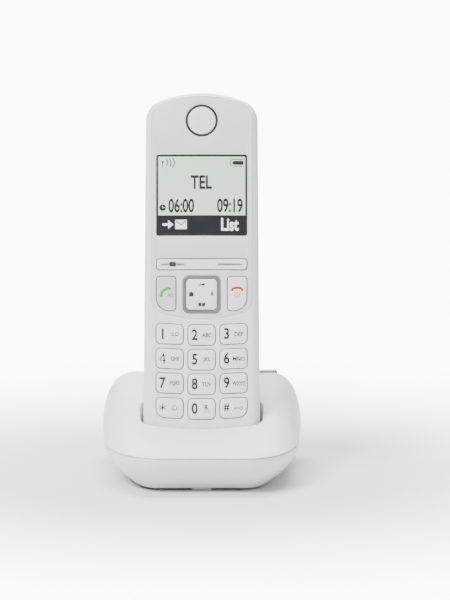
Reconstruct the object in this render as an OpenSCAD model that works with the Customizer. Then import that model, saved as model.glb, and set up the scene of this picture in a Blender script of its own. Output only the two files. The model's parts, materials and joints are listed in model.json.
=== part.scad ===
// Cordless phone standing in its charging base.
// Millimetres. X right, Y back, Z up. Origin under the middle of the base, on the desk.

/* [Handset] */
// Length of the handset
handset_l = 155; // [150:1:186]
// Width of the handset
handset_w = 50; // [48:1:60]
// How much narrower each side is at the top
handset_taper = 0.9; // [0:0.1:1.5]
// Thickness of the handset at its thickest
handset_d = 26; // [24:0.5:32]
// Thickness of the side and back walls
handset_wall = 1.8; // [1.5:0.1:2.2]
// Thickness of the front wall
front_wall = 2.4; // [2:0.1:2.9]
// Angle at which the handset leans back in the base
lean = 16; // [10:1:20]
// Radius of the arched top edge
crown_r = 53; // [45:1:70]
// Radius of the two top corners
crown_corner_r = 9; // [6:1:12]

/* [Front of the handset] */
// Width of the display window
display_w = 39; // [32:1:39.5]
// Height of the display window
display_h = 35; // [29:1:38]
// Diameter of the earpiece ring
ear_d = 13.8; // [11:0.2:16.6]
// Width of a number key
key_w = 11.7; // [9.7:0.1:12.3]
// Height of a number key
key_h = 8.9; // [7.4:0.1:9.1]
// Distance between key columns
key_pitch_x = 13.7; // [13.4:0.1:14.4]
// Distance between key rows
key_pitch_z = 10.6; // [10.5:0.1:11.5]
// Height of the bottom row of keys above the lower end
first_row_z = 18.2; // [17:0.2:20]
// Side of the square navigation key bezel
nav_w = 16.2; // [13.5:0.1:17.4]
// Distance that a key travels
key_travel = 0.45; // [0.3:0.05:0.5]
// Gap around every key
key_gap = 0.25; // [0.15:0.05:0.3]
// Height of the keys above the front face
key_proud = 0.5; // [0.3:0.1:1]

/* [Base] */
// Width of the base at its rear
base_w = 86; // [82:1:104]
// Depth of the base from front to back
base_d = 97; // [90:1:117]
// Height of the seam between the two base shells
seam_z = 14.4; // [13:0.2:16]
// Height of the rear edge of the base
rear_z = 38.4; // [37:0.2:46]
// Height of the front lip of the cradle
lip_z = 22.4; // [21.6:0.2:26]
// Thickness of the base walls
base_wall = 2.2; // [1.8:0.1:2.6]
// Height of the rubber feet under the base
foot_h = 1.2; // [1:0.1:1.6]

/* [Fits] */
// Gap between the handset and the cradle
cradle_gap = 0.6; // [0.4:0.1:0.9]
// Extra gap at each side of the cradle's rim
cradle_flare = 1.1; // [0.5:0.1:1.5]
// Radial clearance of a sliding pin in its bore
pin_clearance = 0.08; // [0.05:0.01:0.1]
// Gap between still pieces that lie against each other
lay_gap = 0.1; // [0.05:0.05:0.15]

/* [Batteries] */
// Diameter of a battery cell
cell_d = 10.5; // [10:0.1:10.8]
// Length of a battery cell
cell_l = 44.5; // [40:0.5:46]

/* [Hidden] */
$fn = 48;
// Sides used on the corners of a hull
hull_fn = 24;
// Overlap that lets cuts run cleanly through a face
eps = 0.02;
// Thickness of one slice of a hull
slice = 0.1;

// Handset: its form, measured from its lower end and from its front face
parting_y = 11;
side_front_r = 5;
side_back_r = 8;
bottom_round = 4;
chin_d = handset_d - 9;
calf_d = handset_d - 4.5;
neck_d = handset_d - 5;
crown_d = handset_d - 12;
crown_front = 3;
calf_z = 20;
belly_z = 60;
shoulder_z = handset_l - 45;
neck_z = handset_l - 17;
brow_z = handset_l - 5;

// Where the handset stands: the lip of the cradle crosses its front face at this length
lip_reach = 9;
handset_y = -20;
handset_z = lip_z - lip_reach * cos(lean);

// Front of the handset, from the number keys upwards
fascia_t = 1.2;
fascia_w = handset_w - 6.8;
fascia_top = handset_l - 1.8;
chin_z = first_row_z + 3 * key_pitch_z + key_h / 2 + 2.7;
chin_r = 58;
chin_corner_r = 6;
nav_z = chin_z + 2.3 + nav_w / 2;
nav_r = 2.6;
pad_w = nav_w - 2.9;
pad_proud = 0.9;
nav_plate_y = front_wall + 0.3;
call_w = 8.4;
call_h = 14.8;
call_z = nav_z + 0.4;
softkey_w = 2 * key_pitch_x + key_w - 0.2;
softkey_h = 4.7;
softkey_z = nav_z + nav_w / 2 + 2.6 + softkey_h / 2;
softkey_r = 1.3;
call_x = (softkey_w - call_w) / 2;
display_r = 0.9;
display_z = handset_l - 27 - display_h / 2;
ear_z = handset_l - 12.2;
ear_line = 0.9;
smile = 0.055;
key_r = 2;
key_corner_r = 4;
key_flange = 0.45;

// Layers behind the front wall
flange_t = 0.6;
flange_y = front_wall + 0.15;
mat_y = flange_y + flange_t + key_travel + lay_gap;
mat_t = 0.8;
dome_y = mat_y + mat_t + lay_gap;
dome_t = 0.2;
board_y = dome_y + dome_t + lay_gap;
board_t = 1.2;
board_back = board_y + board_t;
board_w = handset_w - 2 * handset_taper - 2 * handset_wall - 5;
board_z0 = first_row_z - 6.6;
board_z1 = handset_l - 26;
lcd_y = fascia_t + 2 * lay_gap;
lcd_t = 1.8;
lcd_rim = 0.7;

// Battery compartment
door_t = 1.3;
door_w = 33;
door_gap = 0.2;
cell_gap = 0.7;
cell_y = handset_d - handset_wall - cell_gap - cell_d / 2;
cell_x = cell_d / 2 + 0.5;
spring_l = 5;
strip_t = 0.4;
tray_wall = 1.4;
tray_z = 51;
tray_l = cell_l + spring_l + 2 * strip_t + 0.6;
tray_w = 2 * cell_x + cell_d + 1;
tray_y = cell_y - cell_d / 2 - 0.4;
door_z0 = tray_z - 6;
door_z1 = tray_z + tray_l + 6;

// Slots of the loud speaker, and the screws of the handset
ringer_z = 28;
screw_r = 0.9;
screw_head_r = 1.8;
screw_head_t = 1.3;
post_r = 2.4;
pilot_gap = 0.05;
low_screw_x = 15;
low_screw_z = 7;
high_screw_x = handset_w / 2 - handset_taper - 7.5;
high_screw_z = handset_l - 21.5;

// Charging contacts, in the handset's own directions
pad_x = 12;
pad_y = 7.75;
pad_size = [5, 3, 1];
pin_r = 1.3;
pin_collar_r = 1.9;
pin_travel = 0.8;
tub_wall = 1.6;
tub_floor = -cradle_gap - tub_wall;
carrier_top = tub_floor - lay_gap;
carrier_h = 4.3;
carrier_size = [2 * pad_x + 8, 7, carrier_h];
collar_top = carrier_top - 0.6;
collar_t = 0.6;

// Base
top_z = foot_h;
floor_t = 1.8;
front_r = 26;
rear_r = 16;
front_narrow = 2;
shoulder_r = 11;
seam_band = 0.4;
lip_y = handset_y + lip_reach * sin(lean);
lip_bar = 2.6;
rim_half = handset_w / 2 + cradle_gap + cradle_flare;
tuck = [[0, 0], [0.3, 0.9], [0.62, 3.2], [0.85, 6.8], [1, 11.5]];
base_screw_r = 1.2;
base_head_r = 2.6;
base_head_t = 1.8;
base_post_r = 4;
base_screw_tip = 15.5;
base_screw_seat = 5.6;
base_screws_at = [
    [-base_w / 2 + 19.5, -base_d / 2 + 18.5],
    [base_w / 2 - 19.5, -base_d / 2 + 18.5],
    [0, base_d / 2 - 19]
];
rear_feet_at = [[-base_w / 2 + 21.5, base_d / 2 - 18.5], [base_w / 2 - 21.5, base_d / 2 - 18.5]];
rear_foot_r = 4.5;
front_foot_size = [8.5, 5];
front_foot_y = -base_d / 2 + 15;
foot_seat = 0.6;

// Electronics of the base
circuit_z = seam_z + 0.6;
circuit_t = 1.4;
circuit_w = 60;
circuit_d = 28;
circuit_y = base_d / 2 - 5.5 - circuit_d / 2;
circuit_top = circuit_z + circuit_t;
jack_face_y = base_d / 2 - base_wall - 1.6;
jack_room = 0.5;
line_jack_x = -16;
line_jack_size = [13.4, 15, 11.6];
line_plug = [9.8, 11, 6.6];
line_middle = circuit_top + line_jack_size[2] / 2;
base_can = [15, 14, 3];
base_can_x = -circuit_w / 2 + 16;
base_can_y = circuit_y - circuit_d / 2 + 0.4 + base_can[1] / 2;
power_jack_x = 12;
power_jack_size = [9, 11, 9];
power_bore_r = 2.8;
power_pin_r = 1;
page_x = base_w / 2 - 14.5;
page_y = base_d / 2 - 11.5;
page_size = [8.4, 5];
page_travel = 0.6;
page_crown = rear_z - 0.2;
page_proud = 0.5;
page_flange = 0.6;
page_stem_r = 1.6;
switch_size = [6, 6, 3.5];
switch_top = circuit_top + 4.3;

// Colours
white_plastic = "whitesmoke";
pearl_plastic = "gainsboro";
grey_plastic = "silver";
black_plastic = "dimgray";
circuit_green = "seagreen";
tin = "lightgray";
gold = "gold";

// Points along an arc, in degrees
function arc(cx, cy, r, from, to, steps) = [
    for (i = [0 : steps])
        let (a = from + (to - from) * i / steps)
            [cx + r * cos(a), cy + r * sin(a)]
];

// Outline of a rounded box with its own radius at each corner: right-top, left-top, left-low, right-low
function rounded(w, h, r) = concat(
    arc(w / 2 - r[0], h / 2 - r[0], r[0], 0, 90, 5),
    arc(-w / 2 + r[1], h / 2 - r[1], r[1], 90, 180, 5),
    arc(-w / 2 + r[2], -h / 2 + r[2], r[2], 180, 270, 5),
    arc(w / 2 - r[3], -h / 2 + r[3], r[3], 270, 360, 5)
);

// Height of the centre of a small corner that runs into a big arch
function arch_corner(w, top, big_r, small_r) =
    top - big_r + sqrt(pow(big_r - small_r, 2) - pow(w / 2 - small_r, 2));

// Half the angle of the big arch between its two corners
function arch_angle(w, big_r, small_r) = asin((w / 2 - small_r) / (big_r - small_r));

// Outline of an arch, from its right side over the top to its left side
function arch(w, top, big_r, small_r, big_steps = 10) =
    let (
        cx = w / 2 - small_r,
        cy = arch_corner(w, top, big_r, small_r),
        half = arch_angle(w, big_r, small_r)
    )
    concat(
        arc(cx, cy, small_r, 0, 90 - half, 6),
        arc(0, top - big_r, big_r, 92 - half, 88 + half, big_steps),
        arc(-cx, cy, small_r, 90 + half, 180, 6)
    );

// Upright plate between two depths; its outline is drawn across and along the handset
module plate(y0, y1) {
    translate([0, y1, 0])
        rotate([90, 0, 0])
            linear_extrude(height = y1 - y0)
                children();
}

// Round bar between two depths
module bar(x, z, y0, y1, r) {
    translate([x, y1, z])
        rotate([90, 0, 0])
            cylinder(r = r, h = y1 - y0);
}

module box(size, at) {
    translate([at[0] - size[0] / 2, at[1] - size[1] / 2, at[2]])
        cube(size);
}

// Puts a piece of the handset where the handset stands in the base
module in_handset() {
    translate([0, handset_y, handset_z])
        rotate([-lean, 0, 0])
            children();
}

// Depth of the handset's back along its length
function back_at(z) = lookup(z, [
    [0, chin_d], [calf_z, calf_d], [belly_z, handset_d], [shoulder_z, handset_d],
    [neck_z, neck_d], [brow_z, neck_d - 2.5], [handset_l, crown_d]
]);

// Depth of the handset's front face near its arched top
function front_at(z) =
    let (t = max(0, (z - brow_z) / (handset_l - brow_z)))
        crown_front * (1 - sqrt(max(0, 1 - t * t)));

// Half the width of the handset along its length
function half_at(z) = handset_w / 2 - lookup(z, [[calf_z, 0], [neck_z, handset_taper]]);

// Cross-sections of the handset: length, half width, front depth, back depth, and whether its front bends
handset_slices = concat(
    [
        for (a = [0, 30, 60, 90])
            let (in = bottom_round * (1 - sin(a)), z = bottom_round * (1 - cos(a)))
                [z, handset_w / 2 - in, in, back_at(z) - in, true]
    ],
    [for (z = [calf_z, belly_z, shoulder_z, neck_z]) [z, half_at(z), 0, back_at(z), false]],
    [
        for (p = arch(2 * half_at(handset_l), handset_l, crown_r, crown_corner_r, 4))
            if (p[0] > -eps)
                [p[1], max(p[0], 1), front_at(p[1]), back_at(p[1]), true]
    ]
);

// The handset's outer form, grown or shrunk at its sides and at its front
module handset_form(side = 0, front = 0) {
    stretch = 1 + 2 * side / handset_l;
    hull()
        for (s = handset_slices)
            handset_section(
                max(s[1] + side, 0.6),
                s[2] - front,
                max(s[3] + side, s[2] - front + 2),
                handset_l / 2 + (s[0] - handset_l / 2) * stretch,
                s[4]
            );
}

// One thin cross-section of the handset, drawn as its four corners
module handset_section(half, y0, y1, z, front_bends = true) {
    r0 = min(side_front_r, half, (y1 - y0) / 2);
    r1 = min(side_back_r, half, (y1 - y0) / 2);
    for (m = [-1, 1]) {
        if (front_bends)
            translate([m * (half - r0), y0 + r0, z])
                cylinder(r = r0, h = slice, $fn = hull_fn);
        translate([m * (half - r1), y1 - r1, z])
            cylinder(r = r1, h = slice, $fn = hull_fn);
    }
}

// The part of the handset's space that stands in the cradle, with its running gap
module cradle_space(grow = 0) {
    reach = belly_z + 20;
    hull() {
        for (s = handset_slices)
            if (s[0] <= belly_z)
                handset_section(
                    s[1] + cradle_gap + grow + cradle_flare * min(1, s[0] / 22),
                    s[2] - cradle_gap - grow,
                    s[3] + cradle_gap + grow,
                    s[0] - cradle_gap - (s[0] < bottom_round ? grow : 0)
                );
        handset_section(rim_half + grow, -cradle_gap - grow, handset_d + cradle_gap + grow, reach);
    }
}

// Outline of the base at its seam, shrunk by an inset
module base_outline(inset, h) {
    for (m = [-1, 1]) {
        translate([m * (base_w / 2 - front_narrow - front_r), -base_d / 2 + front_r, 0])
            cylinder(r = front_r - inset, h = h, $fn = hull_fn * 2);
        translate([m * (base_w / 2 - rear_r), base_d / 2 - rear_r, 0])
            cylinder(r = rear_r - inset, h = h, $fn = hull_fn * 2);
    }
}

// Form of the upper shell: the seam, the lip in front and the high round shoulders behind
module base_top_form(inset = 0) {
    hull() {
        translate([0, 0, seam_z - (inset > 0 ? 1 : 0)])
            base_outline(inset, seam_band + (inset > 0 ? 1 : 0));
        for (m = [-1, 1]) {
            translate([m * (base_w / 2 - shoulder_r), base_d / 2 - shoulder_r - 1, rear_z - shoulder_r])
                sphere(r = shoulder_r - inset, $fn = hull_fn);
            translate([m * (rim_half + lip_bar / 2), lip_y - lip_bar, lip_z - lip_bar])
                sphere(r = lip_bar - min(inset, lip_bar - 0.4), $fn = hull_fn / 2);
        }
    }
}

// Form of the lower shell: it tucks in towards the desk
module base_bottom_form(inset = 0) {
    drop = seam_z - top_z;
    hull()
        for (t = tuck)
            translate([0, 0, seam_z - t[0] * drop - slice + (t[0] == 1 ? inset : 0)])
                base_outline(t[1] + inset, slice);
}

module base_screw_place() {
    for (p = base_screws_at)
        translate([p[0], p[1], 0])
            children();
}

module base_top_shell() {
    color(white_plastic)
        difference() {
            union() {
                difference() {
                    base_top_form();
                    base_top_form(base_wall);
                }
                // Walls of the cradle
                intersection() {
                    in_handset() cradle_space(tub_wall);
                    union() {
                        base_top_form();
                        box([base_w / 2 + 20, 50, seam_z], [0, 0, top_z + floor_t + 0.4]);
                    }
                }
                // Posts for the screws
                intersection() {
                    base_screw_place()
                        translate([0, 0, base_screw_seat + 6.6])
                            cylinder(r = base_post_r - 0.8, h = rear_z);
                    union() {
                        base_top_form(base_wall / 2);
                        box([base_w - 20, base_d - 16, 4], [0, 0, seam_z - 4 + eps]);
                    }
                }
            }
            in_handset() cradle_space();
            contact_bores(pin_r + pin_clearance, tub_floor - 1, 4);
            base_screw_place() cylinder(r = base_screw_r - 0.1 + pilot_gap, h = base_screw_tip + 1);
            jack_openings();
            page_opening();
        }
}

// Round spaces along the handset's length, one at each charging pad
module contact_bores(r, z, h) {
    in_handset()
        for (m = [-1, 1])
            translate([m * pad_x, pad_y, z])
                cylinder(r = r, h = h);
}

module jack_openings() {
    depth = 10;
    box([line_plug[0] + 2 * jack_room, depth, line_plug[2] + 2 * jack_room],
        [line_jack_x, jack_face_y - jack_room + depth / 2, line_middle - line_plug[2] / 2 - jack_room]);
    translate([power_jack_x, jack_face_y - jack_room, circuit_top + power_jack_size[2] / 2])
        rotate([-90, 0, 0])
            cylinder(r = power_bore_r + 0.7, h = depth);
}

module page_opening() {
    box([page_size[0] + 2 * key_gap, page_size[1] + 2 * key_gap, 20], [page_x, page_y, rear_z - 10]);
}

module base_bottom_shell() {
    color(white_plastic)
        difference() {
            union() {
                difference() {
                    base_bottom_form();
                    translate([0, 0, eps * 2]) base_bottom_form(floor_t);
                }
                base_screw_place()
                    translate([0, 0, top_z + 1])
                        cylinder(r = base_post_r, h = base_screw_seat + 6.4 - top_z - 1);
                // Posts that carry the circuit board
                for (m = [-1, 1], n = [-1, 1])
                    translate([m * (circuit_w / 2 - 5), circuit_y + n * (circuit_d / 2 - 4.5), top_z + 1])
                        cylinder(r = 2.2, h = circuit_z - top_z - 1 - lay_gap);
            }
            base_screw_place() {
                translate([0, 0, -1]) cylinder(r = base_head_r + 0.3, h = base_screw_seat + 1);
                cylinder(r = base_screw_r + 0.2, h = seam_z + 4);
            }
            box([front_foot_size[0] + 0.2, front_foot_size[1] + 0.2, foot_seat + 1], [0, front_foot_y, top_z - 1]);
            for (p = rear_feet_at)
                translate([p[0], p[1], top_z - 1])
                    cylinder(r = rear_foot_r + lay_gap, h = foot_seat + 1);
        }
}

module front_foot() {
    color(grey_plastic)
        translate([0, front_foot_y, 0])
            linear_extrude(height = top_z + foot_seat)
                polygon(rounded(front_foot_size[0], front_foot_size[1], [1, 1, 1, 1]));
}

module rear_feet() {
    color(grey_plastic)
        for (p = rear_feet_at)
            translate([p[0], p[1], 0]) {
                cylinder(r1 = rear_foot_r - 0.5, r2 = rear_foot_r, h = 0.5);
                translate([0, 0, 0.5]) cylinder(r = rear_foot_r, h = top_z + foot_seat - 0.5);
            }
}

module base_screws() {
    color(tin)
        base_screw_place() {
            difference() {
                translate([0, 0, base_screw_seat - base_head_t]) cylinder(r = base_head_r, h = base_head_t);
                cross_slot(2.8, base_screw_seat - base_head_t - eps);
            }
            translate([0, 0, base_screw_seat - eps])
                cylinder(r = base_screw_r - 0.1, h = base_screw_tip - base_screw_seat);
        }
}

// Cross recess of a screw head, cut upwards from a height
module cross_slot(w, z) {
    box([w, w / 5, 0.9], [0, 0, z]);
    box([w / 5, w, 0.9], [0, 0, z]);
}

module base_board() {
    color(circuit_green)
        difference() {
            box([circuit_w, circuit_d, circuit_t], [0, circuit_y, circuit_z]);
            base_screw_place() cylinder(r = base_post_r + 0.4, h = rear_z);
        }
}

module base_shield_can() {
    color(tin)
        difference() {
            box(base_can, [base_can_x, base_can_y, circuit_top + lay_gap]);
            box([base_can[0] - 1, base_can[1] - 1, base_can[2] - 0.4], [base_can_x, base_can_y, circuit_top]);
        }
}

module base_antenna() {
    color(gold)
        translate([-circuit_w / 2 + 1.4, circuit_y, circuit_top + lay_gap]) {
            box([0.5, 20, 7], [0, 0, 0]);
            box([4, 20, 0.5], [1.75, 0, 6.5]);
        }
}

module base_capacitor() {
    color(black_plastic)
        translate([circuit_w / 2 - 9, circuit_y - circuit_d / 2 + 5.5, circuit_top + lay_gap])
            cylinder(r = 3.15, h = 8);
}

module line_jack() {
    body = line_jack_size;
    color(black_plastic)
        difference() {
            box(body, [line_jack_x, jack_face_y - body[1] / 2, circuit_top + lay_gap]);
            line_plug_space();
            // Slot for the plug's latch
            box([3.4, 8, 3], [line_jack_x, jack_face_y - 3.9, line_middle - line_plug[2] / 2 - 1.6]);
        }
}

// Space for the plug inside the line jack
module line_plug_space() {
    box([line_plug[0], line_plug[1] + 1, line_plug[2]],
        [line_jack_x, jack_face_y - line_plug[1] / 2 + 0.5, line_middle - line_plug[2] / 2]);
}

module line_jack_contacts() {
    top = line_middle + line_plug[2] / 2;
    color(gold)
        for (i = [-1.5 : 1.5])
            box([0.4, 8, 0.5], [line_jack_x + i * 1.1, jack_face_y - 6, top - 0.5 - lay_gap]);
}

module power_jack() {
    body = power_jack_size;
    middle = circuit_top + lay_gap + body[2] / 2;
    color(black_plastic) {
        difference() {
            box(body, [power_jack_x, jack_face_y - body[1] / 2, circuit_top + lay_gap]);
            translate([power_jack_x, jack_face_y - 9, middle])
                rotate([-90, 0, 0])
                    cylinder(r = power_bore_r, h = 10);
        }
        translate([power_jack_x, jack_face_y - 9 - eps, middle])
            rotate([-90, 0, 0])
                cylinder(r = power_pin_r, h = 8);
    }
}

module paging_switch() {
    color(black_plastic) {
        box(switch_size, [page_x, page_y - 1, circuit_top + lay_gap]);
        translate([page_x, page_y - 1, circuit_top + lay_gap]) cylinder(r = 1.7, h = 4.2);
    }
}

module paging_key() {
    rib = 0.5;
    crown = page_crown;
    color(white_plastic) {
        box([page_size[0], page_size[1], 5], [page_x, page_y, crown - 5]);
        for (i = [-3.5 : 3.5])
            box([rib, page_size[1] - 0.6, page_proud + eps], [page_x + i * 2 * rib, page_y, crown - eps]);
        box([page_size[0] + 2 * page_flange, page_size[1] + 2 * page_flange, 0.8],
            [page_x, page_y, crown - 5]);
        translate([page_x, page_y - 1, switch_top + page_travel + lay_gap])
            cylinder(r = page_stem_r, h = crown - 4.5 - switch_top - page_travel - lay_gap);
    }
}

// Block under the cradle that holds the charging contacts and their springs
module contact_carrier() {
    color(black_plastic)
        difference() {
            in_handset() box(carrier_size, [0, pad_y, carrier_top - carrier_h]);
            contact_bores(pin_collar_r + pin_clearance, carrier_top - carrier_h + 0.6, carrier_h);
        }
}

module contact_springs() {
    wire = 0.25;
    low = carrier_top - carrier_h + 0.6;
    color(tin)
        in_handset()
            for (m = [-1, 1])
                translate([m * pad_x, pad_y, low + lay_gap / 2])
                    for (i = [0 : 2])
                        translate([0, 0, wire + i * 1.7 * wire])
                            rotate_extrude()
                                translate([pin_collar_r - 0.5, 0])
                                    circle(r = wire, $fn = 16);
}

module charge_contact(m) {
    color(gold)
        in_handset()
            translate([m * pad_x, pad_y, 0]) {
                translate([0, 0, collar_top - eps])
                    cylinder(r = pin_r, h = -collar_top - pin_r - 0.05 + eps);
                translate([0, 0, -pin_r - 0.05])
                    sphere(r = pin_r);
                translate([0, 0, collar_top - collar_t])
                    cylinder(r = pin_collar_r, h = collar_t);
            }
}

// Outline of the glossy front panel, grown by a gap
function fascia_outline(grow) =
    let (
        w = fascia_w + 2 * grow,
        head = arch(w, fascia_top + grow, crown_r - 1, crown_corner_r - 1.5),
        chin = arch(w, -chin_z + grow, chin_r, chin_corner_r)
    )
    concat(head, [for (p = chin) [-p[0], -p[1]]]);

// Outline of a number key in a column and a row, counted from the top left
function key_outline(column, row, grow) =
    let (
        side = column - 1,
        low = row == 3 ? key_corner_r : key_r,
        r = [
            key_r + grow, key_r + grow,
            (side < 0 ? low : key_r) + grow, (side > 0 ? low : key_r) + grow
        ],
        x = side * key_pitch_x,
        z = first_row_z + (3 - row) * key_pitch_z
    )
    [
        for (p = rounded(key_w + 2 * grow, key_h + 2 * grow, r))
            [p[0] + x, p[1] + z + abs(side) * 0.5 + side * p[0] * smile]
    ];

// Outline of the talk key, on the left, or of the end key, on the right
function call_outline(side, grow) =
    let (
        big = 5.5 + grow,
        small = 1.5 + grow,
        r = [small, small, side < 0 ? big : small, side > 0 ? big : small]
    )
    [for (p = rounded(call_w + 2 * grow, call_h + 2 * grow, r)) [p[0] + side * call_x, p[1] + call_z]];

// Outline of a rounded box centred across the handset at a length
function centred(w, h, r, z) = [for (p = rounded(w, h, [r, r, r, r])) [p[0], p[1] + z]];

function softkey_outline(grow) = centred(softkey_w + 2 * grow, softkey_h + 2 * grow, softkey_r + grow, softkey_z);
function bezel_outline(grow) = centred(nav_w + 2 * grow, nav_w + 2 * grow, nav_r + grow, nav_z);
function pad_outline(grow) = centred(pad_w + 2 * grow, pad_w + 2 * grow, nav_r - 0.8 + grow, nav_z);
function display_outline(grow) = centred(display_w + 2 * grow, display_h + 2 * grow, display_r, display_z);

// Every hole that goes through the front wall and the front panel
module front_holes(y0, y1) {
    plate(y0, y1) {
        polygon(softkey_outline(key_gap));
        polygon(bezel_outline(lay_gap));
        for (side = [-1, 1])
            polygon(call_outline(side, key_gap));
        for (column = [0 : 2], row = [0 : 3])
            polygon(key_outline(column, row, key_gap));
    }
    bar(0, ear_z, y0, y1, ear_d / 2 + lay_gap);
}

// Outline of the space inside the front shell
function cavity_outline() =
    let (
        low = handset_w / 2 - handset_wall,
        r = side_front_r
    )
    concat(
        arch(2 * (half_at(handset_l) - handset_wall), handset_l - handset_wall, crown_r - handset_wall,
             crown_corner_r - handset_wall),
        arc(-low + r, handset_wall + r, r, 180, 270, 5),
        arc(low - r, handset_wall + r, r, 270, 360, 5)
    );

module handset_screw_place() {
    for (m = [-1, 1]) {
        translate([m * low_screw_x, 0, low_screw_z]) children();
        translate([m * high_screw_x, 0, high_screw_z]) children();
    }
}

// Round post or hole along the depth of the handset, at each of its screws
module screw_bars(y0, y1, r) {
    handset_screw_place() bar(0, 0, y0, y1, r);
}

module handset_front_shell() {
    color(white_plastic)
        in_handset()
            difference() {
                union() {
                    difference() {
                        handset_form();
                        plate(front_wall, handset_d) polygon(cavity_outline());
                    }
                    screw_bars(front_wall - 0.3, parting_y - lay_gap, post_r);
                }
                translate([-handset_w, parting_y, -10]) cube([2 * handset_w, handset_d, handset_l + 20]);
                // Seat of the front panel
                plate(-1, fascia_t + lay_gap) polygon(fascia_outline(lay_gap));
                front_holes(-2, front_wall + 0.5);
                plate(-1, front_wall + 1.5) polygon(display_outline(lcd_rim + lay_gap));
                bar(0, 9, -1, front_wall + 1, 0.7);
                screw_bars(parting_y - 7, parting_y + 1, screw_r + pilot_gap);
                charge_pads_space(lay_gap);
            }
}

module charge_pads_space(grow) {
    for (m = [-1, 1])
        box([pad_size[0] + 2 * grow, pad_size[1] + 2 * grow, pad_size[2] + 2 * grow],
            [m * pad_x, pad_y, -grow]);
}

module handset_rear_shell() {
    color(white_plastic)
        in_handset()
            difference() {
                union() {
                    difference() {
                        handset_form();
                        handset_form(-handset_wall, -front_wall);
                        door_space(door_gap);
                    }
                    // Battery tray, with a rim under the door, and the posts for the screws
                    intersection() {
                        handset_form(-door_t - lay_gap);
                        union() {
                            screw_bars(parting_y + lay_gap, handset_d, post_r);
                            box([tray_w + 2 * tray_wall, 40, tray_l + 2 * tray_wall],
                                [0, tray_y + 20 - 1.2, tray_z - tray_wall]);
                            box([door_w + 6, 40, door_z1 - door_z0 + 6],
                                [0, handset_d - 5 + 20, door_z0 - 3]);
                        }
                    }
                }
                translate([-handset_w, parting_y - 20, -10]) cube([2 * handset_w, 20, handset_l + 20]);
                box([tray_w, 40, tray_l], [0, tray_y + 20, tray_z]);
                screw_bars(parting_y + 3, handset_d + 2, screw_head_r + 0.25);
                screw_bars(parting_y - 1, handset_d, screw_r + 0.2);
                ringer_slots();
            }
}

// Space that the battery door takes out of the back, grown by a gap
module door_space(grow) {
    translate([0, handset_d + 5, 0])
        plate(-16, 5)
            polygon(centred(door_w + 2 * grow, door_z1 - door_z0 + 2 * grow, 3 + grow, (door_z0 + door_z1) / 2));
}

module ringer_slots() {
    for (i = [-2 : 2])
        box([9, 12, 1], [0, handset_d - 2, ringer_z + i * 2.2 - 0.5]);
}

module battery_door() {
    color(white_plastic)
        in_handset()
            difference() {
                intersection() {
                    handset_form();
                    door_space(0);
                }
                handset_form(-door_t);
            }
}

module battery_cell(m) {
    nub = 0.8;
    z = tray_z + 0.2 + (m < 0 ? strip_t + spring_l : strip_t);
    color(m < 0 ? "steelblue" : "cornflowerblue")
        in_handset()
            translate([m * cell_x, cell_y, z]) {
                translate([0, 0, m < 0 ? 0 : nub]) cylinder(r = cell_d / 2, h = cell_l - nub);
                translate([0, 0, m < 0 ? cell_l - nub - eps : 0]) cylinder(r = 2.6, h = nub + eps);
            }
}

// Coil springs at the flat ends of the cells
module battery_springs() {
    wire = 0.45;
    turns = floor((spring_l - 0.6) / (1.7 * wire));
    color(tin)
        in_handset()
            for (m = [-1, 1])
                translate([m * cell_x, cell_y, m < 0 ? tray_z : tray_z + tray_l])
                    mirror([0, 0, m < 0 ? 0 : 1]) {
                        translate([0, 0, strip_t / 2 + lay_gap])
                            cube([7, 7, strip_t], center = true);
                        for (i = [0 : turns - 1])
                            translate([0, 0, strip_t + lay_gap + 0.7 * wire + i * 1.7 * wire])
                                rotate_extrude()
                                    translate([3.4 - 0.12 * i, 0])
                                        circle(r = wire, $fn = 16);
                    }
}

// Contact plates at the ends with the cells' studs
module battery_plates() {
    color(tin)
        in_handset()
            for (m = [-1, 1])
                box([8, 8, strip_t - 2 * lay_gap],
                    [m * cell_x, cell_y, m < 0 ? tray_z + tray_l - strip_t + lay_gap : tray_z + lay_gap]);
}

module handset_screws() {
    color(tin)
        in_handset()
            handset_screw_place() {
                difference() {
                    bar(0, 0, parting_y + 3 + lay_gap, parting_y + 3 + lay_gap + screw_head_t, screw_head_r);
                    translate([0, parting_y + 3 + lay_gap + screw_head_t + eps, 0])
                        rotate([90, 0, 0])
                            cross_slot(2, 0);
                }
                bar(0, 0, parting_y - 6.5, parting_y + 3 + lay_gap + eps, screw_r);
            }
}

module charge_pads() {
    color(gold)
        in_handset()
            charge_pads_space(0);
}

module front_fascia() {
    color(pearl_plastic)
        in_handset()
            difference() {
                intersection() {
                    handset_form();
                    plate(-1, fascia_t) polygon(fascia_outline(0));
                }
                front_holes(-2, fascia_t + 1);
                plate(-2, fascia_t + 1) polygon(display_outline(lay_gap));
            }
}

// Black ring that carries the earpiece cap and lets the sound out
module earpiece_ring() {
    color("black")
        in_handset()
            difference() {
                bar(0, ear_z, -0.2, fascia_t + 0.6, ear_d / 2);
                bar(0, ear_z, -1, fascia_t + 1, ear_d / 2 - ear_line);
            }
}

module earpiece_cap() {
    color("white")
        in_handset()
            bar(0, ear_z, -0.1, fascia_t, ear_d / 2 - ear_line - 0.05);
}

module earpiece_gasket() {
    color(grey_plastic)
        in_handset()
            difference() {
                bar(0, ear_z, front_wall + lay_gap, front_wall + 1.1, ear_d / 2 + 1.4);
                bar(0, ear_z, front_wall - 1, front_wall + 2, ear_d / 2 - 1);
            }
}

module earpiece_speaker() {
    face = front_wall + 1.1 + lay_gap;
    color(black_plastic)
        in_handset() {
            bar(0, ear_z, face, face + 2.4, ear_d / 2 + 1.4);
            bar(0, ear_z, face + 2.4 - eps, face + 4.2, ear_d / 2 - 2);
        }
}

module display_window() {
    color("black")
        in_handset()
            plate(0, fascia_t)
                polygon(display_outline(0));
}

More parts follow.
